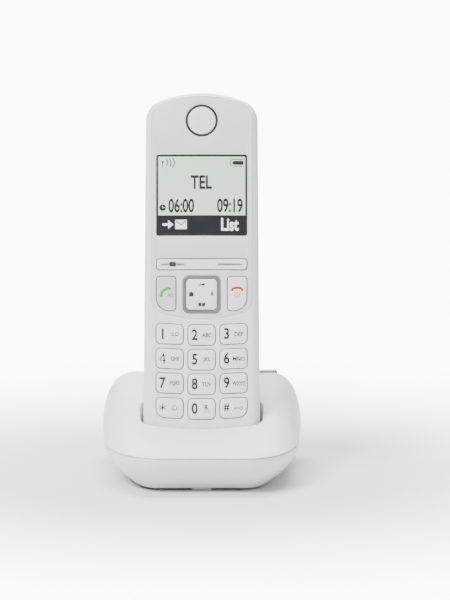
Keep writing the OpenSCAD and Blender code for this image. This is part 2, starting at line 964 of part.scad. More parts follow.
module lcd_panel() {
    color("palegreen")
        in_handset()
            plate(lcd_y, lcd_y + lcd_t)
                polygon(display_outline(lcd_rim));
}

module lcd_backlight() {
    color("white")
        in_handset()
            plate(lcd_y + lcd_t + lay_gap, board_y - lay_gap)
                polygon(display_outline(lcd_rim - 0.3));
}

module nav_bezel() {
    color(grey_plastic)
        in_handset()
            difference() {
                plate(-0.35, front_wall) polygon(bezel_outline(0));
                plate(-1, front_wall + 1) polygon(pad_outline(0.3));
            }
}

// Plate under the navigation key; it tips up and down on its ridge
module nav_rocker() {
    color(grey_plastic)
        in_handset() {
            plate(nav_plate_y, nav_plate_y + 0.6) polygon(centred(5, pad_w - 2, 0.8, nav_z));
            plate(nav_plate_y + 0.6 - eps, mat_y - 0.05) polygon(centred(5, 1, 0.3, nav_z));
        }
}

module nav_key() {
    color("white")
        in_handset()
            plate(-pad_proud, front_wall - 0.1)
                polygon(pad_outline(0));
}

module softkey_bar() {
    color("white")
        in_handset() {
            plate(-key_proud, front_wall + 0.2) polygon(softkey_outline(0));
            plate(front_wall + 0.2 - eps, mat_y - 0.05) polygon(centred(1.2, softkey_h - 1, 0.3, softkey_z));
        }
}

module call_key(side) {
    color("white")
        in_handset() {
            plate(-key_proud, flange_y + eps) polygon(call_outline(side, 0));
            plate(flange_y, flange_y + flange_t) polygon(call_outline(side, key_flange));
        }
}

module number_key(column, row) {
    color("white")
        in_handset() {
            plate(-key_proud, flange_y + eps) polygon(key_outline(column, row, 0));
            plate(flange_y, flange_y + flange_t) polygon(key_outline(column, row, key_flange));
        }
}

// Soft rubber mat that springs all the keys back
module keypad_mat() {
    top = softkey_z + softkey_h / 2 + 1;
    low = board_z0 + 0.6;
    color("lightgray")
        in_handset()
            plate(mat_y, mat_y + mat_t)
                polygon(centred(board_w - 1, top - low, 2, (top + low) / 2));
}

module dome_sheet() {
    top = softkey_z + softkey_h / 2;
    low = board_z0 + 1.4;
    color("lightblue")
        in_handset()
            plate(dome_y, dome_y + dome_t)
                polygon(centred(board_w - 3, top - low, 1, (top + low) / 2));
}

module handset_board() {
    color(circuit_green)
        in_handset()
            plate(board_y, board_back)
                polygon(centred(board_w, board_z1 - board_z0, 1.5, (board_z0 + board_z1) / 2));
}

module handset_shield_can() {
    w = 26;
    color(tin)
        in_handset()
            difference() {
                box([w, 2.2, 24], [0, board_back + lay_gap + 1.1, board_z1 - 46]);
                box([w - 1, 2.2, 23], [0, board_back + lay_gap + 0.8, board_z1 - 45.5]);
            }
}

module handset_antenna() {
    color(gold)
        in_handset() {
            box([24, 0.5, 5], [0, board_back + 4.4, board_z1 - 6]);
            box([3, 4.2, 0.5], [-10.5, board_back + lay_gap + 2.1, board_z1 - 6]);
        }
}

module microphone() {
    color(black_plastic)
        in_handset()
            bar(0, 9, front_wall + lay_gap, front_wall + 2, 2);
}

// Loud speaker behind its slots, low in the back
module ringer_speaker() {
    rear = back_at(ringer_z - 10) - handset_wall - 0.4;
    color(black_plastic)
        in_handset() {
            bar(0, ringer_z, rear - 1.6, rear, 9);
            bar(0, ringer_z, rear - 4, rear - 1.6 + eps, 6);
        }
}

base_top_shell();
base_bottom_shell();
front_foot();
rear_feet();
base_screws();
base_board();
base_shield_can();
base_antenna();
base_capacitor();
line_jack();
line_jack_contacts();
power_jack();
paging_switch();
paging_key();
contact_carrier();
contact_springs();
charge_contact(-1);  // charge_contact_left
charge_contact(1);  // charge_contact_right
handset_front_shell();
handset_rear_shell();
front_fascia();
earpiece_ring();
earpiece_cap();
earpiece_gasket();
earpiece_speaker();
display_window();
lcd_panel();
lcd_backlight();
nav_bezel();
keypad_mat();
dome_sheet();
handset_board();
handset_shield_can();
handset_antenna();
microphone();
ringer_speaker();
battery_cell(-1);  // battery_cell_left
battery_cell(1);  // battery_cell_right
battery_springs();
battery_plates();
charge_pads();
handset_screws();
softkey_bar();
call_key(-1);  // talk_key
call_key(1);  // end_key
nav_rocker();
nav_key();
number_key(0, 0);  // key_1
number_key(1, 0);  // key_2
number_key(2, 0);  // key_3
number_key(0, 1);  // key_4
number_key(1, 1);  // key_5
number_key(2, 1);  // key_6
number_key(0, 2);  // key_7
number_key(1, 2);  // key_8
number_key(2, 2);  // key_9
number_key(0, 3);  // key_star
number_key(1, 3);  // key_0
number_key(2, 3);  // key_hash
battery_door();
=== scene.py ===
"""Looks of a cordless phone that stands in its charging base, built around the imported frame."""

import json
import logging
import math
from dataclasses import dataclass, field
from enum import Enum
from typing import Callable, Optional, Sequence

import bmesh
import bpy
from mathutils import Matrix, Vector


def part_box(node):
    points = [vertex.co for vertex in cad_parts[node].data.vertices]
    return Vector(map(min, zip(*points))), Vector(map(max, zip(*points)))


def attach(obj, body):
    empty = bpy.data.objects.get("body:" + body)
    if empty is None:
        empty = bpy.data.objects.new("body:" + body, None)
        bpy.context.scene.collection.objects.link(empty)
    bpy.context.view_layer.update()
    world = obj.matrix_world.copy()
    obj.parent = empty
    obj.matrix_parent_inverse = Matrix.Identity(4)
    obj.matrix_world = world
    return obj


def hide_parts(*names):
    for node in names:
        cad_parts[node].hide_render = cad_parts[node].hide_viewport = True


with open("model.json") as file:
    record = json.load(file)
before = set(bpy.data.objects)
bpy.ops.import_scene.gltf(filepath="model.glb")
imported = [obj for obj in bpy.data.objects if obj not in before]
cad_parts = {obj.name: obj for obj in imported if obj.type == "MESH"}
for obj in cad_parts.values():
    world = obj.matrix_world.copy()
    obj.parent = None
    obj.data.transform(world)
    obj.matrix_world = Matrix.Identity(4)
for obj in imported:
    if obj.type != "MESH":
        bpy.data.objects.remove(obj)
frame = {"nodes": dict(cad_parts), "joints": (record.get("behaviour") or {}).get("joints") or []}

LOG = logging.getLogger("cordless_phone")
MM = 0.001

# Millimetres: thickness and lift of printed signs, and how much slimmer a key is than its CAD node.
LEGEND_T = 0.05
LEGEND_LIFT = 0.012
SLIM = 0.16
# How much heavier the strokes of digits and letters are than the font's, in font units.
DIGIT_HEFT = 0.03
LETTER_HEFT = 0.03

Point = tuple[float, float]


class Side(Enum):
    """Left or right, seen from the front."""

    LEFT = -1
    RIGHT = 1


# ---------------------------------------------------------------- finishes


class NodeGroups:
    """Shader node groups that several finishes share, each built once."""

    @staticmethod
    def _new(name: str, inputs: Sequence[tuple[str, str, object]], outputs: Sequence[tuple[str, str]]):
        """Starts a group.

        Args:
            name: name of the group.
            inputs: name, socket kind and default of each input.
            outputs: name and socket kind of each output.
        Returns:
            The node tree, its input node and its output node.
        """
        tree = bpy.data.node_groups.new(name, "ShaderNodeTree")
        for label, kind, value in inputs:
            socket = tree.interface.new_socket(label, in_out="INPUT", socket_type=kind)
            socket.default_value = value
        for label, kind in outputs:
            tree.interface.new_socket(label, in_out="OUTPUT", socket_type=kind)
        return tree, tree.nodes.new("NodeGroupInput"), tree.nodes.new("NodeGroupOutput")

    @classmethod
    def moulded_grain(cls) -> bpy.types.NodeTree:
        """Returns the height of a fine spark-eroded mould grain with slow sink marks under it."""
        found = bpy.data.node_groups.get("moulded_grain")
        if found:
            return found
        tree, start, end = cls._new(
            "moulded_grain",
            [("Grain scale", "NodeSocketFloat", 2500.0), ("Wave scale", "NodeSocketFloat", 40.0),
             ("Wave share", "NodeSocketFloat", 0.4)],
            [("Height", "NodeSocketFloat")],
        )
        place = tree.nodes.new("ShaderNodeTexCoord")
        grain = tree.nodes.new("ShaderNodeTexNoise")
        grain.inputs["Detail"].default_value = 3.0
        wave = tree.nodes.new("ShaderNodeTexNoise")
        wave.inputs["Detail"].default_value = 1.0
        blend = tree.nodes.new("ShaderNodeMix")
        link = tree.links.new
        link(place.outputs["Object"], grain.inputs["Vector"])
        link(place.outputs["Object"], wave.inputs["Vector"])
        link(start.outputs["Grain scale"], grain.inputs["Scale"])
        link(start.outputs["Wave scale"], wave.inputs["Scale"])
        link(start.outputs["Wave share"], blend.inputs["Factor"])
        link(grain.outputs["Fac"], blend.inputs["A"])
        link(wave.outputs["Fac"], blend.inputs["B"])
        link(blend.outputs["Result"], end.inputs["Height"])
        return tree

    @classmethod
    def handled_tone(cls) -> bpy.types.NodeTree:
        """Returns a colour and a roughness that drift a little over a handled surface."""
        found = bpy.data.node_groups.get("handled_tone")
        if found:
            return found
        tree, start, end = cls._new(
            "handled_tone",
            [("Colour", "NodeSocketColor", (0.8, 0.8, 0.8, 1.0)),
             ("Worn colour", "NodeSocketColor", (0.7, 0.7, 0.7, 1.0)),
             ("Scale", "NodeSocketFloat", 30.0), ("Low roughness", "NodeSocketFloat", 0.3),
             ("High roughness", "NodeSocketFloat", 0.45)],
            [("Colour", "NodeSocketColor"), ("Roughness", "NodeSocketFloat")],
        )
        place = tree.nodes.new("ShaderNodeTexCoord")
        drift = tree.nodes.new("ShaderNodeTexNoise")
        drift.inputs["Detail"].default_value = 4.0
        drift.inputs["Roughness"].default_value = 0.65
        tint = tree.nodes.new("ShaderNodeMix")
        tint.data_type = "RGBA"
        shine = tree.nodes.new("ShaderNodeMapRange")
        link = tree.links.new
        link(place.outputs["Object"], drift.inputs["Vector"])
        link(start.outputs["Scale"], drift.inputs["Scale"])
        link(drift.outputs["Fac"], tint.inputs["Factor"])
        link(start.outputs["Colour"], tint.inputs["A"])
        link(start.outputs["Worn colour"], tint.inputs["B"])
        link(drift.outputs["Fac"], shine.inputs["Value"])
        link(start.outputs["Low roughness"], shine.inputs["To Min"])
        link(start.outputs["High roughness"], shine.inputs["To Max"])
        link(tint.outputs["Result"], end.inputs["Colour"])
        link(shine.outputs["Result"], end.inputs["Roughness"])
        return tree


@dataclass(frozen=True)
class Finish:
    """A moulded, printed or plated surface.

    Attributes:
        name: name of the material.
        colour: main colour, linear.
        worn: colour that it drifts to.
        roughness: lowest and highest roughness.
        grain: scale of the mould grain.
        bump: strength of the grain.
        metallic: 1 for a metal.
        coat: weight of a clear coat.
        drift: scale of the slow changes of tone.
        wave: share of slow waves in the surface's height.
        glow: strength of a back-lit surface.
        clear: how much light passes through.
    """

    name: str
    colour: tuple[float, float, float]
    worn: tuple[float, float, float]
    roughness: tuple[float, float] = (0.3, 0.42)
    grain: float = 2600.0
    bump: float = 0.06
    metallic: float = 0.0
    coat: float = 0.0
    drift: float = 35.0
    wave: float = 0.25
    glow: float = 0.0
    clear: float = 0.0

    def material(self) -> bpy.types.Material:
        """Returns the material, built the first time it is asked for."""
        found = bpy.data.materials.get(self.name)
        if found:
            return found
        made = bpy.data.materials.new(self.name)
        made.use_nodes = True
        tree = made.node_tree
        shader = tree.nodes["Principled BSDF"]
        tone = tree.nodes.new("ShaderNodeGroup")
        tone.node_tree = NodeGroups.handled_tone()
        tone.inputs["Colour"].default_value = (*self.colour, 1.0)
        tone.inputs["Worn colour"].default_value = (*self.worn, 1.0)
        tone.inputs["Scale"].default_value = self.drift
        tone.inputs["Low roughness"].default_value = self.roughness[0]
        tone.inputs["High roughness"].default_value = self.roughness[1]
        grain = tree.nodes.new("ShaderNodeGroup")
        grain.node_tree = NodeGroups.moulded_grain()
        grain.inputs["Grain scale"].default_value = self.grain
        grain.inputs["Wave share"].default_value = self.wave
        bump = tree.nodes.new("ShaderNodeBump")
        bump.inputs["Strength"].default_value = self.bump
        bump.inputs["Distance"].default_value = 0.1 * MM
        link = tree.links.new
        link(tone.outputs["Colour"], shader.inputs["Base Color"])
        link(tone.outputs["Roughness"], shader.inputs["Roughness"])
        link(grain.outputs["Height"], bump.inputs["Height"])
        link(bump.outputs["Normal"], shader.inputs["Normal"])
        shader.inputs["Metallic"].default_value = self.metallic
        shader.inputs["Coat Weight"].default_value = self.coat
        shader.inputs["Coat Roughness"].default_value = 0.06
        shader.inputs["IOR"].default_value = 1.49
        shader.inputs["Transmission Weight"].default_value = self.clear
        if self.glow:
            link(tone.outputs["Colour"], shader.inputs["Emission Color"])
            shader.inputs["Emission Strength"].default_value = self.glow
        return made


WHITE = Finish("satin_white_plastic", (0.80, 0.80, 0.80), (0.76, 0.76, 0.765), (0.34, 0.44), 3200, 0.10)
PEARL = Finish(
    "pearl_gloss_plastic", (0.74, 0.745, 0.75), (0.70, 0.705, 0.71), (0.16, 0.24), 5200, 0.03, coat=0.6
)
CAP = Finish("white_key_plastic", (0.84, 0.84, 0.84), (0.80, 0.80, 0.80), (0.22, 0.32), 3600, 0.04, coat=0.3)
TALK_CAP = Finish(
    "pale_grey_key_plastic", (0.62, 0.64, 0.63), (0.56, 0.58, 0.57), (0.22, 0.32), 3600, 0.04, coat=0.3
)
SATIN_GREY = Finish(
    "satin_grey_lacquer", (0.30, 0.30, 0.31), (0.24, 0.24, 0.25), (0.26, 0.36), 4200, 0.05, 0.6, 0.3
)
INK = Finish("black_key_ink", (0.012, 0.012, 0.013), (0.025, 0.025, 0.026), (0.4, 0.5), 5000, 0.03)
LETTER_INK = Finish("grey_key_ink", (0.02, 0.02, 0.021), (0.035, 0.035, 0.036), (0.4, 0.5), 5000, 0.03)
GREEN_INK = Finish("green_key_ink", (0.02, 0.30, 0.07), (0.03, 0.36, 0.10), (0.4, 0.5), 5000, 0.03)
RED_INK = Finish("dark_red_key_ink", (0.35, 0.012, 0.015), (0.42, 0.02, 0.02), (0.4, 0.5), 5000, 0.03)
WINDOW = Finish("black_window_frame", (0.008, 0.008, 0.009), (0.014, 0.014, 0.015), (0.3, 0.38), 5200, 0.01)
SCREEN = Finish("pale_screen", (0.66, 0.70, 0.655), (0.63, 0.675, 0.63), (0.2, 0.28), 5200, 0.01, glow=0.12)
LIT = Finish("lit_screen_signs", (0.85, 0.87, 0.85), (0.8, 0.83, 0.8), (0.3, 0.4), 5000, 0.01, glow=0.25)
SEGMENT = Finish("dark_screen_segments", (0.010, 0.012, 0.012), (0.02, 0.022, 0.022), (0.3, 0.4), 5200, 0.01)
# Painted shade: near-black for the sides and flange of a key, standing in for the shadow that falls in the
# gap around it.
GAP_SHADE = Finish("dark_key_lacquer", (0.01, 0.01, 0.011), (0.02, 0.02, 0.021), (0.6, 0.75), 3000, 0.05)
RING = Finish("black_sound_mesh", (0.008, 0.008, 0.008), (0.02, 0.02, 0.02), (0.5, 0.65), 9000, 0.5)
PAD = Finish("pale_foot_rubber", (0.70, 0.70, 0.70), (0.62, 0.62, 0.62), (0.6, 0.75), 2200, 0.3)
RIBBED = Finish("grey_ribbed_key", (0.20, 0.20, 0.205), (0.26, 0.26, 0.265), (0.35, 0.5), 3000, 0.1)
RUBBER = Finish("grey_foot_rubber", (0.42, 0.42, 0.42), (0.34, 0.34, 0.34), (0.7, 0.85), 2200, 0.4)
MAT = Finish("grey_silicone", (0.45, 0.46, 0.47), (0.38, 0.39, 0.40), (0.55, 0.7), 1800, 0.2)
FILM = Finish("blue_dome_film", (0.30, 0.42, 0.55), (0.22, 0.34, 0.48), (0.12, 0.2), 900, 0.05)
CIRCUIT = Finish(
    "green_circuit_board", (0.015, 0.16, 0.05), (0.03, 0.24, 0.08), (0.3, 0.45), 700, 0.35, drift=160
)
TIN = Finish("tinned_sheet", (0.62, 0.62, 0.61), (0.48, 0.48, 0.48), (0.25, 0.42), 1800, 0.12, 1.0)
GOLD = Finish("gold_plate", (0.80, 0.56, 0.22), (0.66, 0.44, 0.16), (0.18, 0.3), 2200, 0.08, 1.0)
STEEL = Finish("zinc_screw_steel", (0.50, 0.50, 0.52), (0.36, 0.36, 0.38), (0.3, 0.45), 1500, 0.15, 1.0)
BLACK = Finish("black_moulding", (0.022, 0.022, 0.023), (0.045, 0.045, 0.046), (0.4, 0.55), 1800, 0.2)
SLEEVE = Finish("battery_sleeve", (0.05, 0.22, 0.38), (0.04, 0.17, 0.30), (0.2, 0.3), 2600, 0.04, coat=0.4)


# ---------------------------------------------------------------- shapes


def arc(centre: Point, radius: float, start: float, end: float, steps: int) -> list[Point]:
    """Returns points along an arc.

    Args:
        centre: middle of the arc.
        radius: its radius.
        start: first angle in degrees.
        end: last angle in degrees.
        steps: number of chords.
    Returns:
        The points, from the first angle to the last.
    """
    angles = [math.radians(start + (end - start) * i / steps) for i in range(steps + 1)]
    return [(centre[0] + radius * math.cos(a), centre[1] + radius * math.sin(a)) for a in angles]


def rounded(
    width: float, height: float, radii: Sequence[float], centre: Point = (0.0, 0.0), steps: int = 8
) -> list[Point]:
    """Returns the outline of a rounded box.

    Args:
        width: whole width.
        height: whole height.
        radii: corner radii, right-top, left-top, left-low and right-low.
        centre: middle of the box.
        steps: chords of each corner.
    Returns:
        The outline, anticlockwise.
    """
    points = []
    for turn, (sx, sy) in enumerate(((1, 1), (-1, 1), (-1, -1), (1, -1))):
        r = max(radii[turn], 0.02)
        corner = (centre[0] + sx * (width / 2 - r), centre[1] + sy * (height / 2 - r))
        points += arc(corner, r, 90 * turn, 90 * turn + 90, steps)
    return points


def arch(width: float, top: float, big: float, small: float) -> list[Point]:
    """Returns the outline of an arch, from its right side over the top to its left side.

    Args:
        width: whole width.
        top: height of its highest point.
        big: radius of the long arc.
        small: radius of the two corners.
    Returns:
        The points of the arch.
    """
    reach = width / 2 - small
    level = top - big + math.sqrt((big - small) ** 2 - reach**2)
    half = math.degrees(math.asin(reach / (big - small)))
    step = half / 12
    return (
        arc((reach, level), small, 0, 90 - half, 10)
        + arc((0, top - big), big, 90 - half + step, 90 + half - step, 22)
        + arc((-reach, level), small, 90 + half, 180, 10)
    )


def loft(rings: Sequence[Sequence[Vector]], cap: bool = True) -> bmesh.types.BMesh:
    """Joins closed rings of equal length into a skin.

    Args:
        rings: the rings, in order.
        cap: closes the first and the last ring.
    Returns:
        The mesh.
    """
    made = bmesh.new()
    loops = [[made.verts.new(p) for p in ring] for ring in rings]
    count = len(loops[0])
    edges = [[made.edges.new((loop[i], loop[(i + 1) % count])) for i in range(count)] for loop in loops]
    for low, high in zip(edges, edges[1:]):
        bmesh.ops.bridge_loops(made, edges=low + high)
    if cap:
        bmesh.ops.contextual_create(made, geom=edges[0])
        bmesh.ops.contextual_create(made, geom=edges[-1])
    bmesh.ops.recalc_face_normals(made, faces=made.faces)
    return made


def front_ring(outline: Sequence[Point], depth: float) -> list[Vector]:
    """Returns an outline drawn across and along the handset, at one depth."""
    return [Vector((x, depth, z)) for x, z in outline]


def slab(outline: Sequence[Point], front: float, back: float) -> bmesh.types.BMesh:
    """Returns a plate between two depths: one face, extruded.

    Args:
        outline: its outline, across and along.
        front: depth of its front face.
        back: depth of its back face.
    Returns:
        The mesh, closed.
    """
    made = bmesh.new()
    face = made.faces.new([made.verts.new((x, front, z)) for x, z in outline])
    grown = bmesh.ops.extrude_face_region(made, geom=[face])
    moved = [g for g in grown["geom"] if isinstance(g, bmesh.types.BMVert)]
    bmesh.ops.translate(made, verts=moved, vec=(0, back - front, 0))
    bmesh.ops.recalc_face_normals(made, faces=made.faces)
    return made


def round_rim(
    made: bmesh.types.BMesh, chosen: Callable[[bmesh.types.BMEdge], bool], size: float, segments: int = 3
) -> None:
    """Bevels the chosen edges.

    Args:
        made: the mesh.
        chosen: tells whether an edge is bevelled.
        size: width of the bevel.
        segments: its number of strips.
    """
    edges = [e for e in made.edges if chosen(e)]
    if edges:
        bmesh.ops.bevel(
            made, geom=edges, offset=size, offset_type="OFFSET", segments=segments, profile=0.5,
            affect="EDGES", material=-1, clamp_overlap=True,
        )


def at_depth(depth: float) -> Callable[[bmesh.types.BMEdge], bool]:
    """Returns a test for edges that lie at one depth."""
    return lambda edge: all(abs(v.co.y - depth) < 1e-4 for v in edge.verts)


def joined(*parts: bmesh.types.BMesh) -> bmesh.types.BMesh:
    """Returns one mesh that holds all of the given ones."""
    whole = bmesh.new()
    for part in parts:
        held = bpy.data.meshes.new("held")
        part.to_mesh(held)
        part.free()
        whole.from_mesh(held)
        bpy.data.meshes.remove(held)
    return whole


def combined(base: bmesh.types.BMesh, tool: bmesh.types.BMesh, operation: str) -> bmesh.types.BMesh:
    """Applies an exact boolean.

    Args:
        base: mesh that is changed.
        tool: mesh that cuts or joins it.
        operation: DIFFERENCE, UNION or INTERSECT.
    Returns:
        The new mesh; both given meshes are freed.
    """
    holders = []
    for name, part in (("base", base), ("tool", tool)):
        mesh = bpy.data.meshes.new(name)
        part.to_mesh(mesh)
        part.free()
        holder = bpy.data.objects.new(name, mesh)
        bpy.context.scene.collection.objects.link(holder)
        holders.append(holder)
    change = holders[0].modifiers.new("change", "BOOLEAN")
    change.operation = operation
    change.solver = "EXACT"
    change.use_self = operation != "INTERSECT"
    change.object = holders[1]
    result = bpy.data.meshes.new_from_object(holders[0].evaluated_get(bpy.context.evaluated_depsgraph_get()))
    made = bmesh.new()
    made.from_mesh(result)
    bpy.data.meshes.remove(result)
    for holder in holders:
        mesh = holder.data
        bpy.data.objects.remove(holder)
        bpy.data.meshes.remove(mesh)
    bmesh.ops.remove_doubles(made, verts=made.verts, dist=1e-4)
    return made


def lettering(words: str, height: float, stretch: float = 0.8, heft: float = 0.0) -> bmesh.types.BMesh:
    """Returns flat letters with a little thickness, centred on the origin, facing the front.

    Args:
        words: what is written.
        height: height of a capital or digit.
        stretch: width of the letters, compared with the plain font.
        heft: how much heavier the strokes are.
    Returns:
        The mesh, across and along the handset.
    """
    curve = bpy.data.curves.new("letters", "FONT")
    curve.body = words
    curve.align_x = "CENTER"
    curve.align_y = "CENTER"
    curve.offset = heft
    curve.resolution_u = 4
    holder = bpy.data.objects.new("letters", curve)
    bpy.context.scene.collection.objects.link(holder)
    mesh = bpy.data.meshes.new_from_object(holder.evaluated_get(bpy.context.evaluated_depsgraph_get()))
    bpy.data.objects.remove(holder)
    bpy.data.curves.remove(curve)
    made = bmesh.new()
    made.from_mesh(mesh)
    bpy.data.meshes.remove(mesh)
    ys = [v.co.y for v in made.verts]
    xs = [v.co.x for v in made.verts]
    middle = Vector(((min(xs) + max(xs)) / 2, (min(ys) + max(ys)) / 2, 0))
    cap_share = 0.73
    scale = height / cap_share
    bmesh.ops.translate(made, verts=made.verts, vec=-middle)
    bmesh.ops.scale(made, verts=made.verts, vec=(scale * stretch, scale, 1))
    bmesh.ops.rotate(made, verts=made.verts, cent=(0, 0, 0), matrix=Matrix.Rotation(math.pi / 2, 3, "X"))
    return thickened(made, LEGEND_T)


def thickened(made: bmesh.types.BMesh, thickness: float) -> bmesh.types.BMesh:
    """Gives flat faces a thickness towards the back, and returns the closed mesh."""
    bmesh.ops.remove_doubles(made, verts=made.verts, dist=1e-5)
    for face in made.faces:
        if face.normal.y > 0:
            face.normal_flip()
    grown = bmesh.ops.extrude_face_region(made, geom=list(made.faces), use_keep_orig=True)
    moved = [g for g in grown["geom"] if isinstance(g, bmesh.types.BMVert)]
    bmesh.ops.translate(made, verts=moved, vec=(0, thickness, 0))
    bmesh.ops.recalc_face_normals(made, faces=made.faces)
    return made


def drawn(*outlines: Sequence[Point]) -> bmesh.types.BMesh:
    """Returns thin plates, one for each outline, that face the front at depth 0."""
    return joined(*(slab(outline, 0.0, LEGEND_T) for outline in outlines))


def stroke(points: Sequence[Point], width: float) -> list[Point]:
    """Returns the outline of a line of even width.

    Args:
        points: the middle of the line.
        width: its width.
    Returns:
        The outline, up one side and back down the other.
    """
    left, right = [], []
    for i, (x, z) in enumerate(points):
        before = points[max(i - 1, 0)]
        after = points[min(i + 1, len(points) - 1)]
        way = Vector((after[0] - before[0], after[1] - before[1])).normalized() * (width / 2)
        left.append((x - way.y, z + way.x))
        right.append((x + way.y, z - way.x))
    return left + right[::-1]



# ---------------------------------------------------------------- where the handset stands


@dataclass
class HandsetSpace:
    """The handset's own directions: x across, y back from its front face, z up its length, in millimetres.

    Attributes:
        lean: angle that the handset leans back, in radians.
        place: takes millimetres in these directions to metres in the frame.
    """

    lean: float = 0.0
    place: Matrix = field(default_factory=Matrix)

    @classmethod
    def from_frame(cls) -> "HandsetSpace":
        """Finds the directions from the joint that lifts the handset and from the front shell."""
        lift = next(j for j in frame["joints"] if j["name"] == "handset_lift")["axis"]
        lean = math.atan2(lift[1], lift[2])
        turn = Matrix.Rotation(-lean, 4, "X")
        corners = [turn.inverted() @ v.co for v in frame["nodes"]["handset_front_shell"].data.vertices]
        origin = Vector((0.0, min(c.y for c in corners), min(c.z for c in corners)))
        return cls(lean, turn @ Matrix.Translation(origin) @ Matrix.Scale(MM, 4))

    def box(self, node: str) -> tuple[Vector, Vector]:
        """Returns the lowest and the highest corner of a node, in millimetres in these directions."""
        back = self.place.inverted()
        spots = [back @ v.co for v in frame["nodes"][node].data.vertices]
        return (
            Vector([min(s[i] for s in spots) for i in range(3)]),
            Vector([max(s[i] for s in spots) for i in range(3)]),
        )


def new_piece(
    name: str,
    made: bmesh.types.BMesh,
    finish: Finish,
    body: str,
    replaces: Sequence[str] = (),
    place: Optional[Matrix] = None,
    crease: float = 32.0,
) -> bpy.types.Object:
    """Makes a mesh into a finished piece that rides on a body.

    Args:
        name: name of the piece.
        made: its mesh, which is freed.
        finish: its finish.
        body: the body that it rides on.
        replaces: nodes that it stands for.
        place: takes the mesh to metres in the frame.
        crease: angle past which an edge stays sharp, in degrees.
    Returns:
        The object.
    """
    bmesh.ops.transform(made, matrix=place or Matrix.Scale(MM, 4), verts=made.verts)
    mesh = bpy.data.meshes.new(name)
    made.to_mesh(mesh)
    made.free()
    mesh.shade_smooth()
    mesh.set_sharp_from_angle(angle=math.radians(crease))
    mesh.materials.clear()
    mesh.materials.append(finish.material())
    piece = bpy.data.objects.new(name, mesh)
    bpy.context.scene.collection.objects.link(piece)
    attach(piece, body)
    if replaces:
        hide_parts(*replaces)
    LOG.info("%s: %d faces, rides on %s", name, len(mesh.polygons), body)
    return piece


# ---------------------------------------------------------------- handset


def smooth_lookup(table: Sequence[Point], at: float) -> float:
    """Reads a table with smooth turns at its points and no overshoot.

    Args:
        table: places and values, in rising order of place.
        at: the place that is read.
    Returns:
        The value there.
    """
    at = min(max(at, table[0][0]), table[-1][0])
    slopes = [(b[1] - a[1]) / (b[0] - a[0]) for a, b in zip(table, table[1:])]
    turns = [slopes[0]]
    for a, b in zip(slopes, slopes[1:]):
        turns.append(0.0 if a * b <= 0 else 2 * a * b / (a + b))
    turns.append(slopes[-1])
    i = max(k for k in range(len(slopes)) if table[k][0] <= at)
    gap = table[i + 1][0] - table[i][0]
    t = (at - table[i][0]) / gap
    return (
        table[i][1] * (2 * t**3 - 3 * t**2 + 1)
        + table[i + 1][1] * (3 * t**2 - 2 * t**3)
        + gap * turns[i] * (t**3 - 2 * t**2 + t)
        + gap * turns[i + 1] * (t**3 - t**2)
    )


def pin(x: float, z: float, front: float, back: float, radius: float, sides: int = 48) -> bmesh.types.BMesh:
    """Returns a round bar along the handset's depth."""
    return slab(arc((x, z), radius, 0, 360 * (1 - 1 / sides), sides - 1), front, back)


